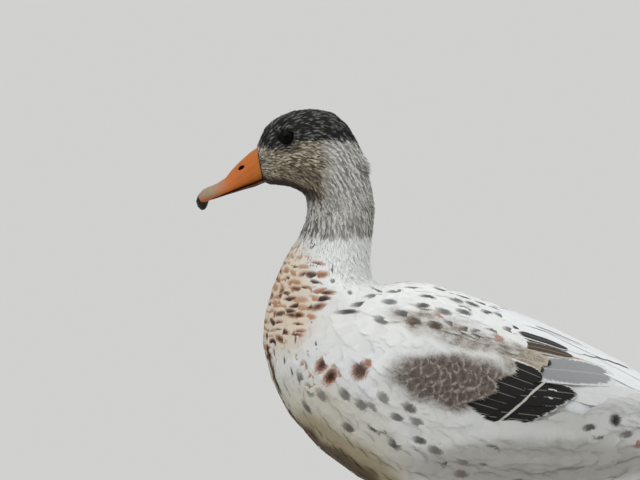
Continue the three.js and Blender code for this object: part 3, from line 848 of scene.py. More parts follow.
# The same on the head, without peppering.
HEAD_PATCHES = [
    (srgb(150, 132, 106), 0.6, (-124, 320), (24, 11), -28),   # darker lower cheek
    (srgb(238, 236, 230), 0.95, *PALE_CHEEK),
    (srgb(238, 236, 230), 0.95, *PALE_NAPE),
    (srgb(206, 203, 192), 0.8, (-155, 333), (5, 10), 0),      # pale line behind the bill
    (srgb(46, 38, 32), 0.95, (-135, 312), (24, 9), -14),      # band behind the gape
    (DARK_BROWN, 0.7, (-134, 344), (8, 4), 0),                # under the eye
]
CAP_EDGE = np.array([(-157, 345), (-150, 344), (-142, 342.5), (-134, 343), (-128.5, 348), (-118, 349.5),
                     (-92, 349), (-86, 345), (-80, 337), (-70, 330)], float)
NECK_EDGE = 278.0      # where the streaked neck ends over the white ring
CHEEK_EDGE = 306.0     # where the cheek's flecks end over the streaked neck


def body_tone(points):
    """Tone of the plumage on the body, painted shade low on the flank included, and in a fourth column how
    strongly it is peppered.
    """
    tone = mix(np.tile(WHITE, (len(points), 1)), CREAM, 0.12 + 0.2 * cloud(points, 30))
    pepper = np.zeros(len(points))
    ragged = points + 3.5 * cloud(points, 15, 5)[:, None]
    for colour, peppering, strength, *shape in BODY_PATCHES:
        share = strength * oval(ragged, *shape)
        if 0 < peppering < 1:
            share = share * (0.45 + 0.55 * step(-0.25, 0.2, cloud(points, 6.5, 3)))
        tone = mix(tone, colour, share)
        pepper = pepper * (1 - share) + peppering * share
    return np.column_stack([tone, pepper])


def over_cap_edge(points):
    """How far a point stands over the cap's uneven lower edge."""
    return points[:, 2] - np.interp(points[:, 1], *CAP_EDGE.T) + 1.5 * cloud(points, 5)


def head_tone(points):
    """Tone of the head and the streaked neck, with a fourth column of no peppering."""
    tone = mix(np.tile(CHEEK, (len(points), 1)), BUFF, 0.25 + 0.3 * cloud(points, 8))
    for colour, strength, *shape in HEAD_PATCHES:
        tone = mix(tone, colour, strength * oval(points, *shape))
    neck = mix(np.tile(NECK_LIGHT, (len(points), 1)), NECK_DARK, 0.15 + 0.25 * cloud(points, 7))
    edge = points[:, 2] + 4 * cloud(points, 9, 1)
    tone = mix(tone, neck, step(CHEEK_EDGE + 5, CHEEK_EDGE - 5, edge))
    tone = mix(tone, BLACK, step(0.5, 2.5, over_cap_edge(points)))
    return np.column_stack([tone, np.zeros(len(points))])


def over_ring(points):
    """1 above the white ring and 0 below, with an uneven edge between them."""
    return step(NECK_EDGE - 1, NECK_EDGE + 1, points[:, 2] + 2 * cloud(points, 6, 2))


def plumage_tone(points):
    """Tone and peppering as body_tone gives them, with those of head and neck above the ring."""
    return mix(body_tone(points), head_tone(points), over_ring(points))


class Streaks:
    """Streaks scattered over the skin, long in the way the feathers lie."""

    def __init__(self, surface, spacing, where, half_long, half_wide, seed):
        self.points, normals, _ = surface.scatter(spacing, where, seed)
        ways = lie_at(self.points, normals)
        self.axes = np.stack([ways / half_long, np.cross(ways, normals) / half_wide], -1)
        self.strength = np.random.default_rng(seed + 1).uniform(0.55, 1, len(self.points))
        self.tree = KDTree(len(self.points))
        for index, point in enumerate(self.points):
            self.tree.insert(Vector(point), index)
        self.tree.balance()

    def cover(self, points):
        """Near 1 for points on a strong streak and 0 for those between streaks."""
        covered = np.zeros(len(points))
        near = np.array([[hit[1] for hit in self.tree.find_n(Vector(p), 5)] for p in points])
        for column in near.T:
            off = points - self.points[column]
            away = np.linalg.norm(off[:, None] @ self.axes[column], axis=-1)[:, 0]
            covered = np.maximum(covered, self.strength[column] * step(1.25, 0.7, away))
        return covered


# ------------------------------------------------------------------ tufts and body feathers

TUFT = Kind((0, 0.35, 0.75, 1), (0.4, 1, 0.7, 0.08), lift=(0.3, 1))
WISP = Kind((0, 0.25, 0.5, 0.8, 1), (0.4, 1, 0.9, 0.5, 0.06), lift=(0.4, 1))
LOCK = Kind((0, 0.25, 0.5, 0.8, 1), (0.3, 1, 0.9, 0.5, 0.06), lift=(0.86, 1.02, 1.08, 1.08, 1))
# Barbs along one side of the rim, as Kind takes them.
RIM = [(1 - 0.62 * away ** 1.7, 1, 30 * away ** 0.5) for away in np.linspace(0.02, 1, 17)]
CONTOUR = Kind((0, 0.25, 0.5, 0.7, 0.84, 0.94, 1), (0.3, 0.85, 1, 0.97, 0.8, 0.5, 0.14), across=5,
               camber=0.05, lift=(0.75, 0.82, 0.88, 0.94, 0.87), soft=0.85, patch=0.004,
               barbs=RIM + [(share, -v, -slant) for share, v, slant in RIM])
FACES_A_PIECE = 190_000      # triangles, under the most that one coat piece may have


def sprout(surface, roots, normals, kind, lengths, seed, spread, bristle):
    """Middle lines and heights of feathers from these roots.

    spread is how much their ways differ, bristle how much the heights of their tips do.
    """
    draw = np.random.default_rng(seed)
    ways = lie_at(roots, normals)
    ways = unit(ways + np.cross(ways, normals) * draw.normal(0, spread, (len(roots), 1)))
    lines = laid_lines(surface, roots, ways, lengths, kind.along)
    depth = coat_depth(lines[0].reshape(-1, 3)).reshape(lines[0].shape[:2])
    tips = draw.normal(0, bristle, (len(roots), 1)) * kind.along ** 2
    return lines, depth * kind.lift + tips


def visible_points(lines, kind):
    """Where each feather shows: a point of its middle line near the tip."""
    shown = np.searchsorted(kind.along, 0.75)
    return lines[0][:, shown]


def coat_pieces(name, material, lines, half_widths, heights, kind, places, paint):
    """Splits feathers into as few pieces as the triangle limit allows, from bill to tail."""
    pieces = math.ceil(len(places) * kind.triangles() / FACES_A_PIECE)
    order = np.argsort(lines[0][:, 0, 1])
    for number, chosen in enumerate(np.array_split(order, pieces)):
        feather_piece(f"{name}_{number + 1}" if pieces > 1 else name, material,
                      [part[chosen] for part in lines], half_widths[chosen], heights[chosen], kind,
                      places[chosen], partial(paint, chosen))


def tuft_pieces(name, look, barbs, lines, half_widths, heights, kind, places, tone):
    """Pieces of tufts that each have one tone and neither peppering nor marks."""
    def paint(chosen, points, vane):
        return {"tone": np.insert(tone[chosen], 3, 0, axis=1)[:, None]}

    material = feather_material(look, barbs, spotted=False)
    coat_pieces(name, material, lines, half_widths, heights, kind, places, paint)


def is_head(points):
    return step(NECK_EDGE + 14, NECK_EDGE + 34, points[:, 2])


def on_eye(points):
    """True over the eyeballs, where nothing grows."""
    over = np.hypot((points[:, 1] - EYE[1]) / 5.0, (points[:, 2] - EYE[2]) / 4.2) < 1
    return over & (np.abs(points[:, 0]) > 8)


FACE = (GAPE[0], 330.0)      # middle of the plumage's edge round the bill, [y, z]


def head_coat(surface):
    def where(points):
        return is_head(points) * ~on_eye(points)

    def frosted(points):
        return is_head(points) * (0.25 + 0.75 * step(-0.1, 0.3, cloud(points, 6, 4)))

    roots, normals, places = surface.scatter(0.8, where, seed=11)
    near_bill = step(24, 8, side_distance(roots, FACE))
    near_eye = step(14, 6, side_distance(roots, EYE[1:]))
    size = 1 - 0.45 * np.maximum(near_bill, near_eye)
    draw = np.random.default_rng(12)
    lengths = 5.5 * size * draw.uniform(0.8, 1.2, len(roots))
    lines, heights = sprout(surface, roots, normals, TUFT, lengths, seed=13, spread=0.14, bristle=0.25)
    ruffled = oval(roots, (-78, 335), (6, 8), -70) * draw.uniform(0.5, 3.8, len(roots))
    heights += ruffled[:, None] * TUFT.along ** 2
    shown = visible_points(lines, TUFT)
    cap = step(-1, 1, over_cap_edge(shown) + draw.normal(0, 1.2, len(roots)))
    tone = mix(head_tone(shown)[:, :3], BLACK, cap)
    pale = np.maximum(oval(shown, *PALE_CHEEK), oval(shown, *PALE_NAPE)) * (1 - cap)
    flecks = Streaks(surface, 1.6, is_head, 1.8, 0.72, seed=21)
    tone = mix(tone, srgb(52, 42, 34), 0.95 * flecks.cover(shown) * (1 - cap) * (1 - 0.8 * pale))
    streaks = Streaks(surface, 2.7, is_head, 4.0, 0.7, seed=23)
    tone = mix(tone, srgb(96, 91, 84), 0.8 * streaks.cover(shown) * pale)
    frost = Streaks(surface, 1.7, frosted, 1.3, 0.65, seed=22)
    tone = mix(tone, srgb(138, 138, 133), 0.75 * frost.cover(shown) * cap)
    tone = tone * draw.uniform(0.85, 1.12, (len(roots), 1))
    tuft_pieces("head_tufts", "tufts_head", 6, lines, 0.72 * np.sqrt(size), heights, TUFT,
                places, tone)


def over_neck(points):
    """1 on the neck with its white foot, where wisps grow, and 0 off it."""
    low = NECK_EDGE - 34 + 24 * step(-98, -116, points[:, 1])
    return step(low, low + 10, points[:, 2])


def neck_coat(surface, marks):
    def where(points):
        below = 1 - step(NECK_EDGE + 16, NECK_EDGE + 44, points[:, 2])
        thin = 0.42 + 0.58 * step(NECK_EDGE - 40, NECK_EDGE - 16, points[:, 2])
        return over_neck(points) * below * thin

    roots, normals, places = surface.scatter(1.15, where, seed=31)
    draw = np.random.default_rng(32)
    low = step(NECK_EDGE - 14, NECK_EDGE - 40, roots[:, 2])
    high = step(NECK_EDGE + 18, NECK_EDGE + 40, roots[:, 2])
    lengths = (10 - 3 * low - 4 * high) * draw.uniform(0.8, 1.25, len(roots))
    lines, heights = sprout(surface, roots, normals, WISP, lengths, seed=33, spread=0.14,
                            bristle=0.3 - 0.2 * low[:, None])
    shown = visible_points(lines, WISP)
    tone = plumage_tone(shown)[:, :3]
    streaked = over_ring(shown)
    dark = Streaks(surface, 2.6, where, 4.0, 0.75, seed=34).cover(shown)
    dark = dark * (0.6 + 0.4 * step(-95, -120, shown[:, 1]) + 0.4 * step(-84, -78, shown[:, 1]))
    tone = mix(tone, srgb(70, 63, 54), dark * streaked)
    tone = marks.tint(tone, shown)
    tone = tone * (1 - (0.04 + 0.14 * streaked) * draw.random(len(roots)))[:, None]
    tuft_pieces("neck_wisps", "wisps_neck", 10, lines, 1.0 + 0.8 * low, heights, WISP,
                places, tone)


# Side-view places [y, z] with the length and half width of the contour feathers there.
SIZES = [
    ((-135, 245), 12, 4.0), ((-75, 262), 13, 4.2), ((-145, 200), 14, 4.8), ((-125, 150), 17, 6.5),
    ((-85, 190), 22, 8.5), ((-60, 150), 26, 9.5), ((-70, 110), 20, 7.5), ((-70, 235), 17, 6.0),
    ((-30, 228), 19, 6.2), ((30, 222), 28, 9.0), ((-40, 185), 15, 5.6), ((20, 178), 17, 6.2),
    ((0, 130), 28, 8.5), ((70, 130), 28, 8.5), ((0, 85), 20, 7), ((90, 100), 22, 7.5),
    ((130, 165), 26, 8), ((140, 125), 24, 8), ((0, 60), 12, 4.5),
]
SIZE_PLACES = np.array([place for place, _, _ in SIZES], float)
SIZE_VALUES = np.array([values for _, *values in SIZES], float)


def feather_size(points):
    """Length and half width of the contour feathers at these points."""
    return blended(points, SIZE_PLACES, SIZE_VALUES, 40, 1.5).T


# Outline in side view [y, z] of what the long feathers of wing and back show.
WING_SHOWS = np.array([
    (-17, 165), (-3, 171), (10, 177), (20, 186), (28, 192), (32, 200), (32, 208), (25, 215), (14, 222),
    (10, 236), (60, 225), (142, 190), (142, 157), (118, 158), (90, 153.5), (60, 150.5), (37, 147.5),
    (10, 150)], float)


def inside(points, outline):
    """True for points whose side view lies in this outline."""
    y, z = points[:, 1:2], points[:, 2:3]
    (y0, z0), (y1, z1) = outline.T, np.roll(outline, -1, axis=0).T
    crosses = (z0 > z) != (z1 > z)
    where = y0 + (z - z0) * (y1 - y0) / np.where(z1 == z0, 1e-9, z1 - z0)
    return (crosses & (y < where)).sum(1) % 2 == 1


# Ends [y, z] of the dark wet locks by the front outline of breast and belly.
WET_LOCKS = [
    ((-146, 205), (-137, 174)), ((-142, 192), (-134, 165)), ((-140, 174), (-128, 149)),
    ((-131, 160), (-121, 143)), ((-124, 145), (-104, 127)), ((-110, 131), (-84, 112)),
    ((-96, 118), (-72, 105)),
]
STRANDS = 26       # in each lock


def wet_locks(surface):
    """Each lock is a bundle of fine dark wisps that lie on the plumage and taper to its end."""
    draw = np.random.default_rng(44)
    roots, tips = [], []
    for side in SIDES.values():
        for ends in WET_LOCKS:
            first, last = surface.from_side(np.array(ends, float), side)
            across = unit(np.cross(last - first, surface.nearest([first])[1][0]))
            start = draw.uniform(0, 0.55, (STRANDS, 1))
            end = start + draw.uniform(0.3, 0.45, (STRANDS, 1))
            aside = draw.normal(0, 1.1, (STRANDS, 1)) * across
            roots.append(first + (last - first) * start + aside)
            tips.append(first + (last - first) * end + aside * (1 - end))
    roots, tips = surface.nearest(np.concatenate(roots))[0], surface.nearest(np.concatenate(tips))[0]
    lines = drawn_lines(surface, roots, tips, LOCK.along)
    heights = coat_depth(roots)[:, None] * LOCK.lift
    dry = np.tile(srgb(150, 132, 104), (len(roots), 1))
    tone = mix(dry, srgb(52, 42, 33), draw.random(len(roots)) ** 0.6)
    places = surface.unwrap[surface.nearest(roots)[2]]
    half_widths = draw.uniform(0.3, 0.6, len(roots))
    tuft_pieces("wet_locks", "wisps_wet", 8, lines, half_widths, heights, LOCK, places, tone)


ROOTS_APART = 0.62      # least distance between the roots of contour feathers, in half widths


def body_coat(surface, marks):
    spacing = 3.2           # where the density is 1

    def where(points):
        wanted = (spacing / (feather_size(points)[1] * ROOTS_APART)) ** 2
        return wanted * (1 - step(0.75, 1, over_neck(points)))

    roots, normals, places = surface.scatter(spacing, where, seed=41)
    draw = np.random.default_rng(42)
    lengths, half_widths = feather_size(roots)
    scale = draw.uniform(0.88, 1.12, len(roots))
    lines, heights = sprout(surface, roots, normals, CONTOUR, lengths * scale, seed=43, spread=0.08,
                            bristle=0.08)
    shown = visible_points(lines, CONTOUR)
    heights = heights * np.where(inside(shown, WING_SHOWS), 0.3, 1)[:, None]
    heights += 1.5 * oval(shown, *COVERT_PATCH)[:, None] * CONTOUR.along
    light = draw.uniform(0.97, 1.03, (len(roots), 1, 1))

    def paint(chosen, points, vane):
        tone = body_tone(points.reshape(-1, 3)).reshape(*points.shape[:2], 4)
        tone[..., :3] *= light[chosen]
        mark, spot = marks.over(points, shown[chosen])
        return {"tone": tone, "mark": mark, "spot": spot}

    coat_pieces("body_feathers", feather_material("contour_feathers", 70), lines,
                half_widths * scale, heights, CONTOUR, places, paint)


# Single marks: colour, size of the dark core, half length, half width and slant against the lie of the
# feathers in degrees, and places [y, z].
SPOTS = [
    (CHESTNUT, 0.55, 8.8, 4.8, 75, [(-108, 192.5), (-102.5, 185)]),
    (CHESTNUT, 0.65, 8.4, 6.6, 60, [(-82.5, 189)]),
    (CHESTNUT, 0.0, 3.8, 3.4, 0, [(-96, 187), (-100, 190), (-116, 183), (-115, 177), (-77, 194)]),
    (srgb(160, 116, 90), 0.0, 5.2, 3.2, 10, [(13, 208.5), (113, 135), (-27, 224), (-121, 191)]),
    (BLACK, 0.0, 5.8, 3.0, 10, [(-10, 227), (26, 213)]),
    (BLACK, 0.5, 5.2, 4.6, 0, [(96.5, 152.5)]),
    (srgb(62, 52, 46), 0.0, 5.4, 2.9, -10, [(-72, 150), (-57, 157.5), (-39, 230), (-20, 124), (-41, 142)]),
    (srgb(76, 65, 57), 0.0, 6.2, 2.7, 0, [(104, 142), (-119, 163), (86, 142), (22, 216)]),
    (srgb(108, 95, 84), 0.0, 5.8, 3.6, 0, [(4, 127), (28, 112), (13, 105), (-90, 150), (-12, 118)]),
    (srgb(118, 112, 106), 0.0, 6.0, 3.4, 5, [
        (-109, 172), (-93, 172.5), (-66, 172), (-48, 165), (-43, 155), (-31, 142.5), (-30, 135),
        (-66, 146), (-82, 166), (-75, 164), (10, 135), (-10, 126), (-117, 175), (-58, 139), (-123, 183)]),
    (srgb(28, 26, 25), 0.0, 6.4, 3.4, 0, [
        (-62, 232), (-38, 229), (-25, 226), (-11, 225), (7, 223), (-53, 225), (-46, 240), (-36, 235),
        (-16, 232), (-5, 229), (-9, 236), (4, 232), (22, 212), (-68, 221), (-58, 238), (16, 221),
        (-27, 238)]),
    (srgb(78, 62, 50), 0.0, 6.2, 4.0, 0, [
        (-45, 220), (-31, 218), (-19, 218), (-9, 214), (-1, 212), (9, 212)]),
    (srgb(58, 54, 52), 0.0, 5.6, 2.6, 0, [(78, 148.5), (14, 229), (-14, 241), (-72, 238)]),
    (srgb(66, 62, 60), 0.0, 8.5, 2.2, -60, [(-93, 226.5), (-84, 231), (-76, 235.5)]),
    (srgb(72, 62, 54), 0.0, 3.4, 0.9, 5, [
        (-136, 208), (-131, 202), (-127, 209), (-122, 204), (-134, 194), (-126, 196), (-118, 199),
        (-141, 199), (-129, 187), (-113, 205), (-124, 216), (-116, 222)]),
    (srgb(84, 78, 76), 0.0, 2.0, 1.8, 0, [
        (-111, 266), (-103, 249), (-97, 244), (-92, 240), (-103, 257), (-117, 272), (-127, 270)]),
]
BREAST_ROWS = np.arange(271, 194, -5.8)      # heights of the breast's rows of marks
BREAST_AXIS = -95.0                          # the upright line that the rows go round, at this y
# How many degrees the rows reach to either side, at some heights.
BREAST_REACH = ((192, 24), (215, 60), (240, 74), (262, 56), (272, 26))


MARK_MARGIN = 1.5                            # how far past a mark's edge a feather still takes it


class Marks:
    """Marks on the skin: each has a place, the ways along and across it, half sizes, core and colour."""

    def __init__(self):
        self.rows = []

    def add(self, surface, points, colour, core, half_long, half_wide, slant, strength):
        points, normals, _ = surface.nearest(points)
        ways = lie_at(points, normals)
        turn = math.radians(slant)
        along = ways * math.cos(turn) + np.cross(ways, normals) * math.sin(turn)
        axes = np.stack([along, np.cross(along, normals)], -1)
        half = np.array([half_long, half_wide])
        for place, pair, share in zip(points, axes, np.broadcast_to(strength, len(points))):
            self.rows.append((place, pair, half, core, [*colour, share]))

    def over(self, points, shown):
        """Each feather's mark and the place of its points in it: of those that reach it the nearest.

        points is shaped (feathers, points, 3), and shown is the place where each feather shows most.
        """
        colours = np.zeros((len(points), 1, 4))
        spots = np.tile([9.0, 9.0, 0.0], (*points.shape[:2], 1))
        nearest = np.full(len(points), 99.0)
        for place, axes, half, core, colour in self.rows:
            near = np.flatnonzero(np.linalg.norm(shown - place, axis=1) < 24)
            off = (points[near] - place) @ axes
            far = np.linalg.norm((shown[near] - place) @ axes / (half + MARK_MARGIN), axis=-1)
            reach = np.linalg.norm(off / (half + MARK_MARGIN), axis=-1).min(1)
            better = (reach < 1.2) & (far < nearest[near])
            taken = near[better]
            nearest[taken] = far[better]
            colours[taken] = colour
            spots[taken] = np.insert(off[better] / half, 2, core, -1)
        return colours, spots

    def tint(self, tone, points):
        """Tones of small tufts at these points, with the marks laid over them."""
        for place, axes, half, core, (*colour, strength) in self.rows:
            near = np.flatnonzero(np.linalg.norm(points - place, axis=1) < 14)
            reach = np.linalg.norm((points[near] - place) @ axes / half, axis=-1)
            tone[near] = mix(tone[near], np.array(colour), strength * step(1.25, 0.8, reach))
            if core:
                tone[near] = mix(tone[near], BLACK, strength * step(core + 0.2, core - 0.2, reach))
        return tone


def breast_marks(marks, surface):
    """Rows of marks round the breast: bars of chestnut across the feathers, many with a black core."""
    draw = np.random.default_rng(51)
    for row, height in enumerate(BREAST_ROWS):
        reach = np.interp(height, *np.array(BREAST_REACH).T)
        size = 1 - 0.35 * step(255, 265, height)
        for degrees in np.arange(-reach, reach + 1, 7.0) + 3.5 * (row % 2):
            away = math.radians(degrees + draw.normal(0, 1.5))
            way = Vector((math.sin(away), -math.cos(away), 0))
            axis = Vector((0, BREAST_AXIS, height + draw.normal(0, 0.9)))
            point = surface.tree.ray_cast(axis + way * 200, -way)[0]
            core = draw.choice([0.0, 0.5, 0.8], p=[0.32, 0.42, 0.26])
            sizes = draw.uniform(2.3, 3.4) * size, draw.uniform(5.0, 7.4) * size
            colour = mix(CHESTNUT, srgb(182, 130, 94), draw.random())
            kept = 0.98 - 0.4 * (abs(degrees) / reach) ** 3 - 0.25 * (height < 212)
            if draw.random() <= kept:
                marks.add(surface, [point], colour, core, *sizes, draw.normal(0, 10),
                          draw.uniform(0.78, 1) * size)


def single_marks(marks, surface):
    """The single marks, in their places on the left and near them on the right."""
    draw = np.random.default_rng(52)
    for side in SIDES.values():
        shift = 4 * (side < 0)
        for colour, core, half_long, half_wide, slant, places in SPOTS:
            places = np.array(places, float)
            places = places + draw.normal(0, 1, places.shape) * shift
            marks.add(surface, surface.from_side(places, side), colour, core, half_long, half_wide,
                      side * slant, draw.uniform(0.75, 0.97, len(places)))


# ------------------------------------------------------------------ long feathers of wings and tail

QUILL = Kind((0, 0.12, 0.3, 0.45, 0.6, 0.72, 0.82, 0.9, 0.95, 0.985, 1),
             (0.3, 0.7, 0.95, 1, 1, 1, 0.97, 0.86, 0.68, 0.42, 0.15), across=7, camber=0.07, soft=0.35,
             rimmed=True)
# Painted grey shade over the middle of a white panel feather behind the speculum.
PANEL_SHADE = srgb(138, 139, 140)
SOOT = srgb(30, 27, 26)
MOTTLED_CREAM = (*srgb(182, 172, 152), 0.5)       # its fourth value is the peppering
# Marks are a colour, a strength, and a middle and half sizes along (u) and across (v) the vane.
PLAIN = (WHITE, 0.0, 0.0, 0.0, 0.2, 0.5)

# Rows of long feathers on the left wing, lowest layer first: how many, height over the skin, half width,
# root and tip [y, z] of the first and of the last feather, tone, and the mark.
WING_ROWS = [
    # primaries, secondaries, greater coverts
    (5, 1.6, 6.5, [((30, 158), (118, 158)), ((56, 164), (122, 166))], WHITE, PLAIN),
    (6, 2.5, 6.6, [((-28, 162), (37, 154)), ((8, 178), (70, 170.5))], srgb(214, 212, 206),
     (SOOT, 1.0, 0.5, 0.08, 0.5, 1.02)),
    (7, 3.2, 6.2, [((-38, 171), (8, 158.5)), ((-2, 200), (45, 182))], srgb(226, 222, 214),
     (SOOT, 1.0, 0.98, 0.12, 0.48, 1.04)),
    # pale bar, behind the speculum a white panel dimmed a little as painted shade and a white panel with
    # painted grey shade over its middle, chestnut-edged tertial
    (1, 3.7, 0.9, [((6, 148), (50, 182))], srgb(200, 196, 186), PLAIN),
    (1, 3.7, 9.5, [((60, 174), (118, 162))], srgb(222, 222, 220), PLAIN),
    (1, 3.9, 11.5, [((24, 190), (98, 178))], srgb(214, 214, 213), (PANEL_SHADE, 0.9, 0.58, 0.0, 0.36, 0.9)),
    (1, 4.2, 7.5, [((15, 209), (124, 189))], WHITE, (srgb(150, 108, 84), 0.8, 0.6, 0.9, 0.36, 0.18)),
    # mottled cream coverts with a black tip, then the brown, grey and black tertials
    (2, 4.5, 5.2, [((2, 200), (46, 187)), ((8, 206), (51, 191))], MOTTLED_CREAM,
     (SOOT, 1.0, 1.0, 0.4, 0.05, 1.2)),
    (1, 4.5, 5.4, [((6, 208), (67, 193))], (*srgb(190, 180, 166), 0.4),
     (DARK_BROWN, 1.0, 0.7, -0.1, 0.36, 0.8)),
    (1, 5.7, 3.6, [((10, 222), (82, 204.5))], WHITE, (srgb(100, 96, 92), 0.8, 0.7, 0.0, 0.26, 0.5)),
    (1, 5.3, 5.0, [((6, 216), (63, 197))], WHITE, (SOOT, 1.0, 0.74, 0.0, 0.36, 0.85)),
]
# The same over the back, where the ends are [x, y] as seen from above: primaries, tertials, scapulars.
BACK_ROWS = [
    (3, 3.0, 6.5, [((58, 60), (22, 150)), ((50, 64), (26, 142))], WHITE, PLAIN),
    (7, 3.4, 8.5, [((52, 20), (42, 108)), ((12, 14), (7, 142))], WHITE, PLAIN),
    (5, 4.9, 8.0, [((34, -6), (27, 76)), ((8, -12), (7, 108))], WHITE, PLAIN),
]


def rows_of_quills(rows, place):
    """Roots, tips, heights, half widths, tones and marks of all feathers in these rows.

    place turns ends [y, z] or [x, y] into points on the skin.
    """
    ends, sizes, tones, marks = [], [], [], []
    for count, height, half_width, pairs, tone, mark in rows:
        share = np.linspace(0, 1, count)[:, None, None]
        first, last = np.array(pairs[0], float), np.array(pairs[-1], float)
        ends.append(first * (1 - share) + last * share)
        sizes.append(np.column_stack([height + 0.2 * np.arange(count), np.full(count, half_width)]))
        tones.append(np.tile([*tone, 0.0][:4], (count, 1)))
        marks.append(np.tile(np.hstack(mark), (count, 1)))
    ends, sizes = np.concatenate(ends), np.concatenate(sizes)
    return place(ends[:, 0]), place(ends[:, 1]), *sizes.T, np.concatenate(tones), np.concatenate(marks)


def quill_piece(name, material, lines, half_widths, heights, tones, marks, side=1, replaced=()):
    """One object of long feathers. Each has a wide patch of its own on the unwrap, in rows."""
    count = len(half_widths)
    columns = math.ceil(math.sqrt(count))
    index = np.arange(count)
    places = (np.column_stack([index % columns, index // columns]) + 0.5) / columns
    kind = copy.copy(QUILL)
    kind.patch = 0.9 / columns
    marks = marks * (1, 1, 1, 1, 1, side, 1, 1)      # on the right, v is measured the other way

    def paint(points, vane):
        spot = (vane[..., ::-1] - marks[:, None, 4:6]) / marks[:, None, 6:]
        return {"tone": tones[:, None], "mark": marks[:, None, :4], "spot": np.insert(spot, 2, 0, -1)}

    feather_piece(name, material, lines, half_widths, heights, kind, places, paint, replaced)


def straight_lines(roots, tips, normals):
    """Middle lines that run straight from roots to tips and lie as flat to these normals as they can."""
    shares = QUILL.along[None, :, None]
    points = roots[:, None] * (1 - shares) + tips[:, None] * shares
    ways = unit(np.gradient(points, axis=1))
    return [points, unit(normals - dot(normals, ways) * ways), ways]


def wing_coat(surface, material):
    for name, side in SIDES.items():
        from_side = rows_of_quills(WING_ROWS, lambda ends: surface.from_side(ends, side))
        from_above = rows_of_quills(BACK_ROWS, lambda ends: surface.from_above(ends * (side, 1)))
        both = zip(from_side, from_above)
        roots, tips, heights, half_widths, tones, marks = map(np.concatenate, both)
        lines = drawn_lines(surface, roots, tips, QUILL.along)
        rise = heights[:, None] * (0.5 + 0.5 * step(0, 0.4, QUILL.along))
        quill_piece(f"wing_{name}_quills", material, lines, half_widths, rise, tones, marks,
                    side)


def wing_tip_coat(material):
    """The free ends of the primaries, laid back over the rump."""
    count = 5
    for name, side in SIDES.items():
        low, high = node_box(f"wing_{name}_tip")
        inner, outer = (low, high) if side > 0 else (high, low)
        middle = node_middle(f"wing_{name}_tip")
        inward, reach = np.linspace(0, 1, count), np.linspace(0.45, 1, count)
        roots = np.tile([outer[0] * 1.35, low[1] - 50, middle[2] - 1], (count, 1))
        tips = np.column_stack([outer[0] + (inner - outer)[0] * inward, low[1] + (high - low)[1] * reach,
                                middle[2] - 3 * (1 - inward)])
        heights = 1.5 * inward[:, None] * np.ones(len(QUILL.along))
        shade = np.random.default_rng(61).uniform(0.95, 1, (count, 1))
        quill_piece(f"wing_{name}_tip_quills", material,
                    straight_lines(roots, tips, unit(np.array([side * 0.75, 0.1, 0.65]))),
                    np.full(count, 5.5), heights, np.append(WHITE, 0.0) * shade,
                    np.tile(np.hstack(PLAIN), (count, 1)), side, [f"wing_{name}_tip"])


def tail_coat(material):
    """Twelve tail feathers in a closed fan, the middle pair on top."""
    count = 12
    place = np.linspace(-1, 1, count)       # from the right edge of the fan to the left
    outward = np.abs(place)
    root_y, root_z = TAIL_LOW[1] - 28, (TAIL_LOW[2] + TAIL_HIGH[2]) / 2 + 3
    roots = np.column_stack([place * 7, np.full(count, root_y), np.full(count, root_z)])
    angle = place * 0.36
    length = TAIL_HIGH[1] - root_y - 11 * place ** 2
    tips = roots + np.column_stack([np.sin(angle) * length, np.cos(angle) * length - 2, -4 - 3 * place ** 2])
    normals = unit(np.column_stack([place * 0.35, np.full(count, 0.05), np.ones(count)]))[:, None]
    heights = (3.6 - 3.6 * outward + 0.25 * (place > 0))[:, None] * (0.4 + 0.6 * QUILL.along)
    tones = np.append(WHITE, 0.0) * (1 - 0.14 * outward)[:, None]
    quill_piece("tail_quills", material, straight_lines(roots, tips, normals),
                np.full(count, 6.2), heights, tones, np.tile(np.hstack(PLAIN), (count, 1)),
                replaced=["tail"])


# ------------------------------------------------------------------ bill, eyes, legs

def fine_copy(name, nodes, voxel, rounds, material):
    """A piece that replaces these nodes by one fine smooth surface of the same size."""
    obj = joined_copy(name, nodes)
    remesh(obj, voxel)
    smooth_mesh(obj, rounds)
    finish_piece(obj, material, nodes)
    return obj


def ball(name, middle, radii, segments, material, replaced=()):
    """A smooth ball, or an egg with these radii along x, y and z."""
    bpy.ops.mesh.primitive_uv_sphere_add(segments=segments, ring_count=segments // 2, radius=MM)
    obj = bpy.context.object
    obj.name = name
    write_points(obj.data, read_points(obj.data) * radii + middle)
    obj.data.polygons.foreach_set("use_smooth", np.ones(len(obj.data.polygons), bool))
    finish_piece(obj, material, replaced)


NOSTRIL = (0, -168.5, 329.0)      # the nostrils' middle


def make_bill():
    fine_copy("bill_upper_skin", ["bill_upper"], 0.5, 6, bill_material())
    dark = horn_material("bill_dark", srgb(66, 47, 36), srgb(110, 74, 50), 0.6)
    lower = fine_copy("bill_lower_skin", ["bill_lower"], 0.5, 6, dark)
    # The lower bill is shallow, its rim lies inside the upper one and its hinge inside the face.
    points = read_points(lower.data)
    y, z = points[:, 1], points[:, 2]
    under = np.maximum(2.5 - over_gape(y, z, 1), 0)
    points[:, 2] += 0.8 + 0.4 * under + 0.8 * step(GAPE[0] - 8, GAPE[0], y)
    write_points(lower.data, points)
    fine_copy("bill_nail_horn", ["bill_nail"], 0.35, 4, nail_material())
    # A dark lining closes the nostrils from inside: painted shade for the hollow behind them.
    hollow_shade = horn_material("nostril", srgb(38, 22, 15), srgb(70, 38, 24), 0.7)
    ball("nostril_hollow_shade", NOSTRIL, (2.6, 4.2, 2.6), 32, hollow_shade)


def make_eyes():
    for side, sign in SIDES.items():
        middle = EYE * (sign, 1, 1)
        ball(f"eyeball_{side}", middle, EYE_RADIUS, 64, eye_material(side), [f"eye_{side}"])


LID_OPENING = (4.1, 3.4)     # half length and half height of the gap between the lids
# The lid's cross-section: how far out from the opening, and how high over the eyeball.
LID_SECTION = ((0.0, -0.3), (0.05, 0.1), (0.3, 0.3), (0.7, 0.25), (1.2, -0.1), (1.8, -0.8), (1.0, -1.2))


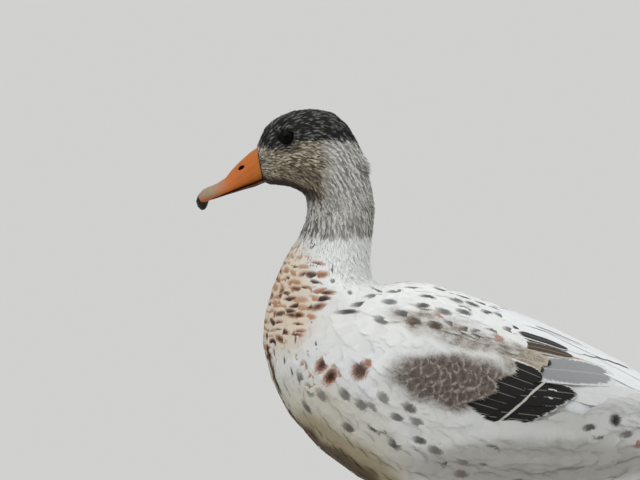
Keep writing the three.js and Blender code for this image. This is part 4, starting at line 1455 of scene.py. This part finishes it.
def make_lids(material):
    """A soft ring round each eye: it rolls out of the skin, over the ball and in to its edge."""
    turns = np.linspace(0, 2 * math.pi, 72, endpoint=False)
    half_long, half_high = LID_OPENING
    flatter = 1 - 0.12 * np.cos(turns) ** 2
    opening = np.stack([np.cos(turns) * half_long, np.sin(turns) * half_high * flatter], -1)
    outward = unit(opening)
    count, around = len(LID_SECTION), len(turns)
    k, j = np.meshgrid(np.arange(count), np.arange(around), indexing="ij")
    row, next_row, beyond = k * around, (k + 1) % count * around, (j + 1) % around
    faces = np.stack([row + j, row + beyond, next_row + beyond, next_row + j], -1).reshape(-1, 4)
    for side, sign in SIDES.items():
        rings = []
        for out, rise in LID_SECTION:
            y, z = (opening + outward * out).T
            over = np.sqrt(np.maximum(EYE_RADIUS ** 2 - y ** 2 - z ** 2, 0.5))
            rings.append(np.column_stack([sign * (EYE[0] + over + rise), EYE[1] + y, EYE[2] + z]))
        obj = new_mesh(f"eyelid_{side}", np.concatenate(rings), [faces if sign > 0 else faces[:, ::-1]])
        finish_piece(obj, material)


def make_legs():
    scales = leg_material()
    claws = horn_material("claws", srgb(52, 42, 34), srgb(108, 86, 62), 0.4)
    for side in SIDES:
        parts = [f"leg_{side}_{part}" for part in ("shank", "foot", "hind_toe")]
        fine_copy(f"leg_{side}_skin", parts, 0.7, 4, scales)
        nails = [f"leg_{side}_claw_{toe}" for toe in ("hind", "inner", "middle", "outer")]
        fine_copy(f"leg_{side}_claws", nails, 0.35, 3, claws)


# ------------------------------------------------------------------ camera, light and floor

# Each light's name, where it comes from, strength, and how wide it is in degrees.
LIGHTS = (("key", (1.1, -0.8, 2.1), 1.4, 50), ("top", (-0.3, 0.2, 1), 1.3, 80))


def make_stage():
    bpy.ops.mesh.primitive_plane_add(size=60)
    floor = bpy.context.object
    floor.name = "floor"
    floor.data.materials.append(Shader("floor").surface(srgb(198, 197, 194), 0.95, 0.0))
    world = bpy.data.worlds.new("studio")
    world.use_nodes = True
    sky = world.node_tree.nodes["Background"].inputs
    sky["Color"].default_value = (0.9, 0.95, 1.0, 1)
    sky["Strength"].default_value = 0.4
    bpy.context.scene.world = world
    for name, place, strength, width in LIGHTS:
        light = bpy.data.lights.new(name, "SUN")
        light.energy = strength
        light.angle = math.radians(width)
        lamp = bpy.data.objects.new(name, light)
        lamp.location = place
        lamp.rotation_euler = Vector(place).to_track_quat("Z", "Y").to_euler()
        bpy.context.scene.collection.objects.link(lamp)


VIEW_MIDDLE = Vector((0, -112, 276.5)) * MM      # what the middle of the picture shows
VIEW_WIDTH = 460.8 * MM
VIEW_DISTANCE = 5.0
VIEW_DOWN = math.radians(5)
SENSOR_WIDTH = 36


def make_camera():
    camera = bpy.data.cameras.new("camera")
    camera.sensor_width = SENSOR_WIDTH
    camera.lens = SENSOR_WIDTH * VIEW_DISTANCE / VIEW_WIDTH
    camera.clip_end = 50
    obj = bpy.data.objects.new("camera", camera)
    obj.location = VIEW_MIDDLE + VIEW_DISTANCE * Vector((math.cos(VIEW_DOWN), 0, math.sin(VIEW_DOWN)))
    obj.rotation_euler = (VIEW_MIDDLE - obj.location).to_track_quat("-Z", "Y").to_euler()
    bpy.context.scene.collection.objects.link(obj)
    bpy.context.scene.camera = obj
    bpy.context.scene.view_settings.view_transform = "Standard"


# ------------------------------------------------------------------ the duck

make_camera()
make_stage()
surface = Surface(make_skin())
head_coat(surface)
marks = Marks()
breast_marks(marks, surface)
single_marks(marks, surface)
neck_coat(surface, marks)
body_coat(surface, marks)
wet_locks(surface)
quill_material = feather_material("long_feathers", 70, fray=0.22, square=0.6, shaft=0.3, roughness=0.6)
wing_coat(surface, quill_material)
wing_tip_coat(quill_material)
tail_coat(quill_material)
make_bill()
make_eyes()
make_lids(lid_material())
make_legs()
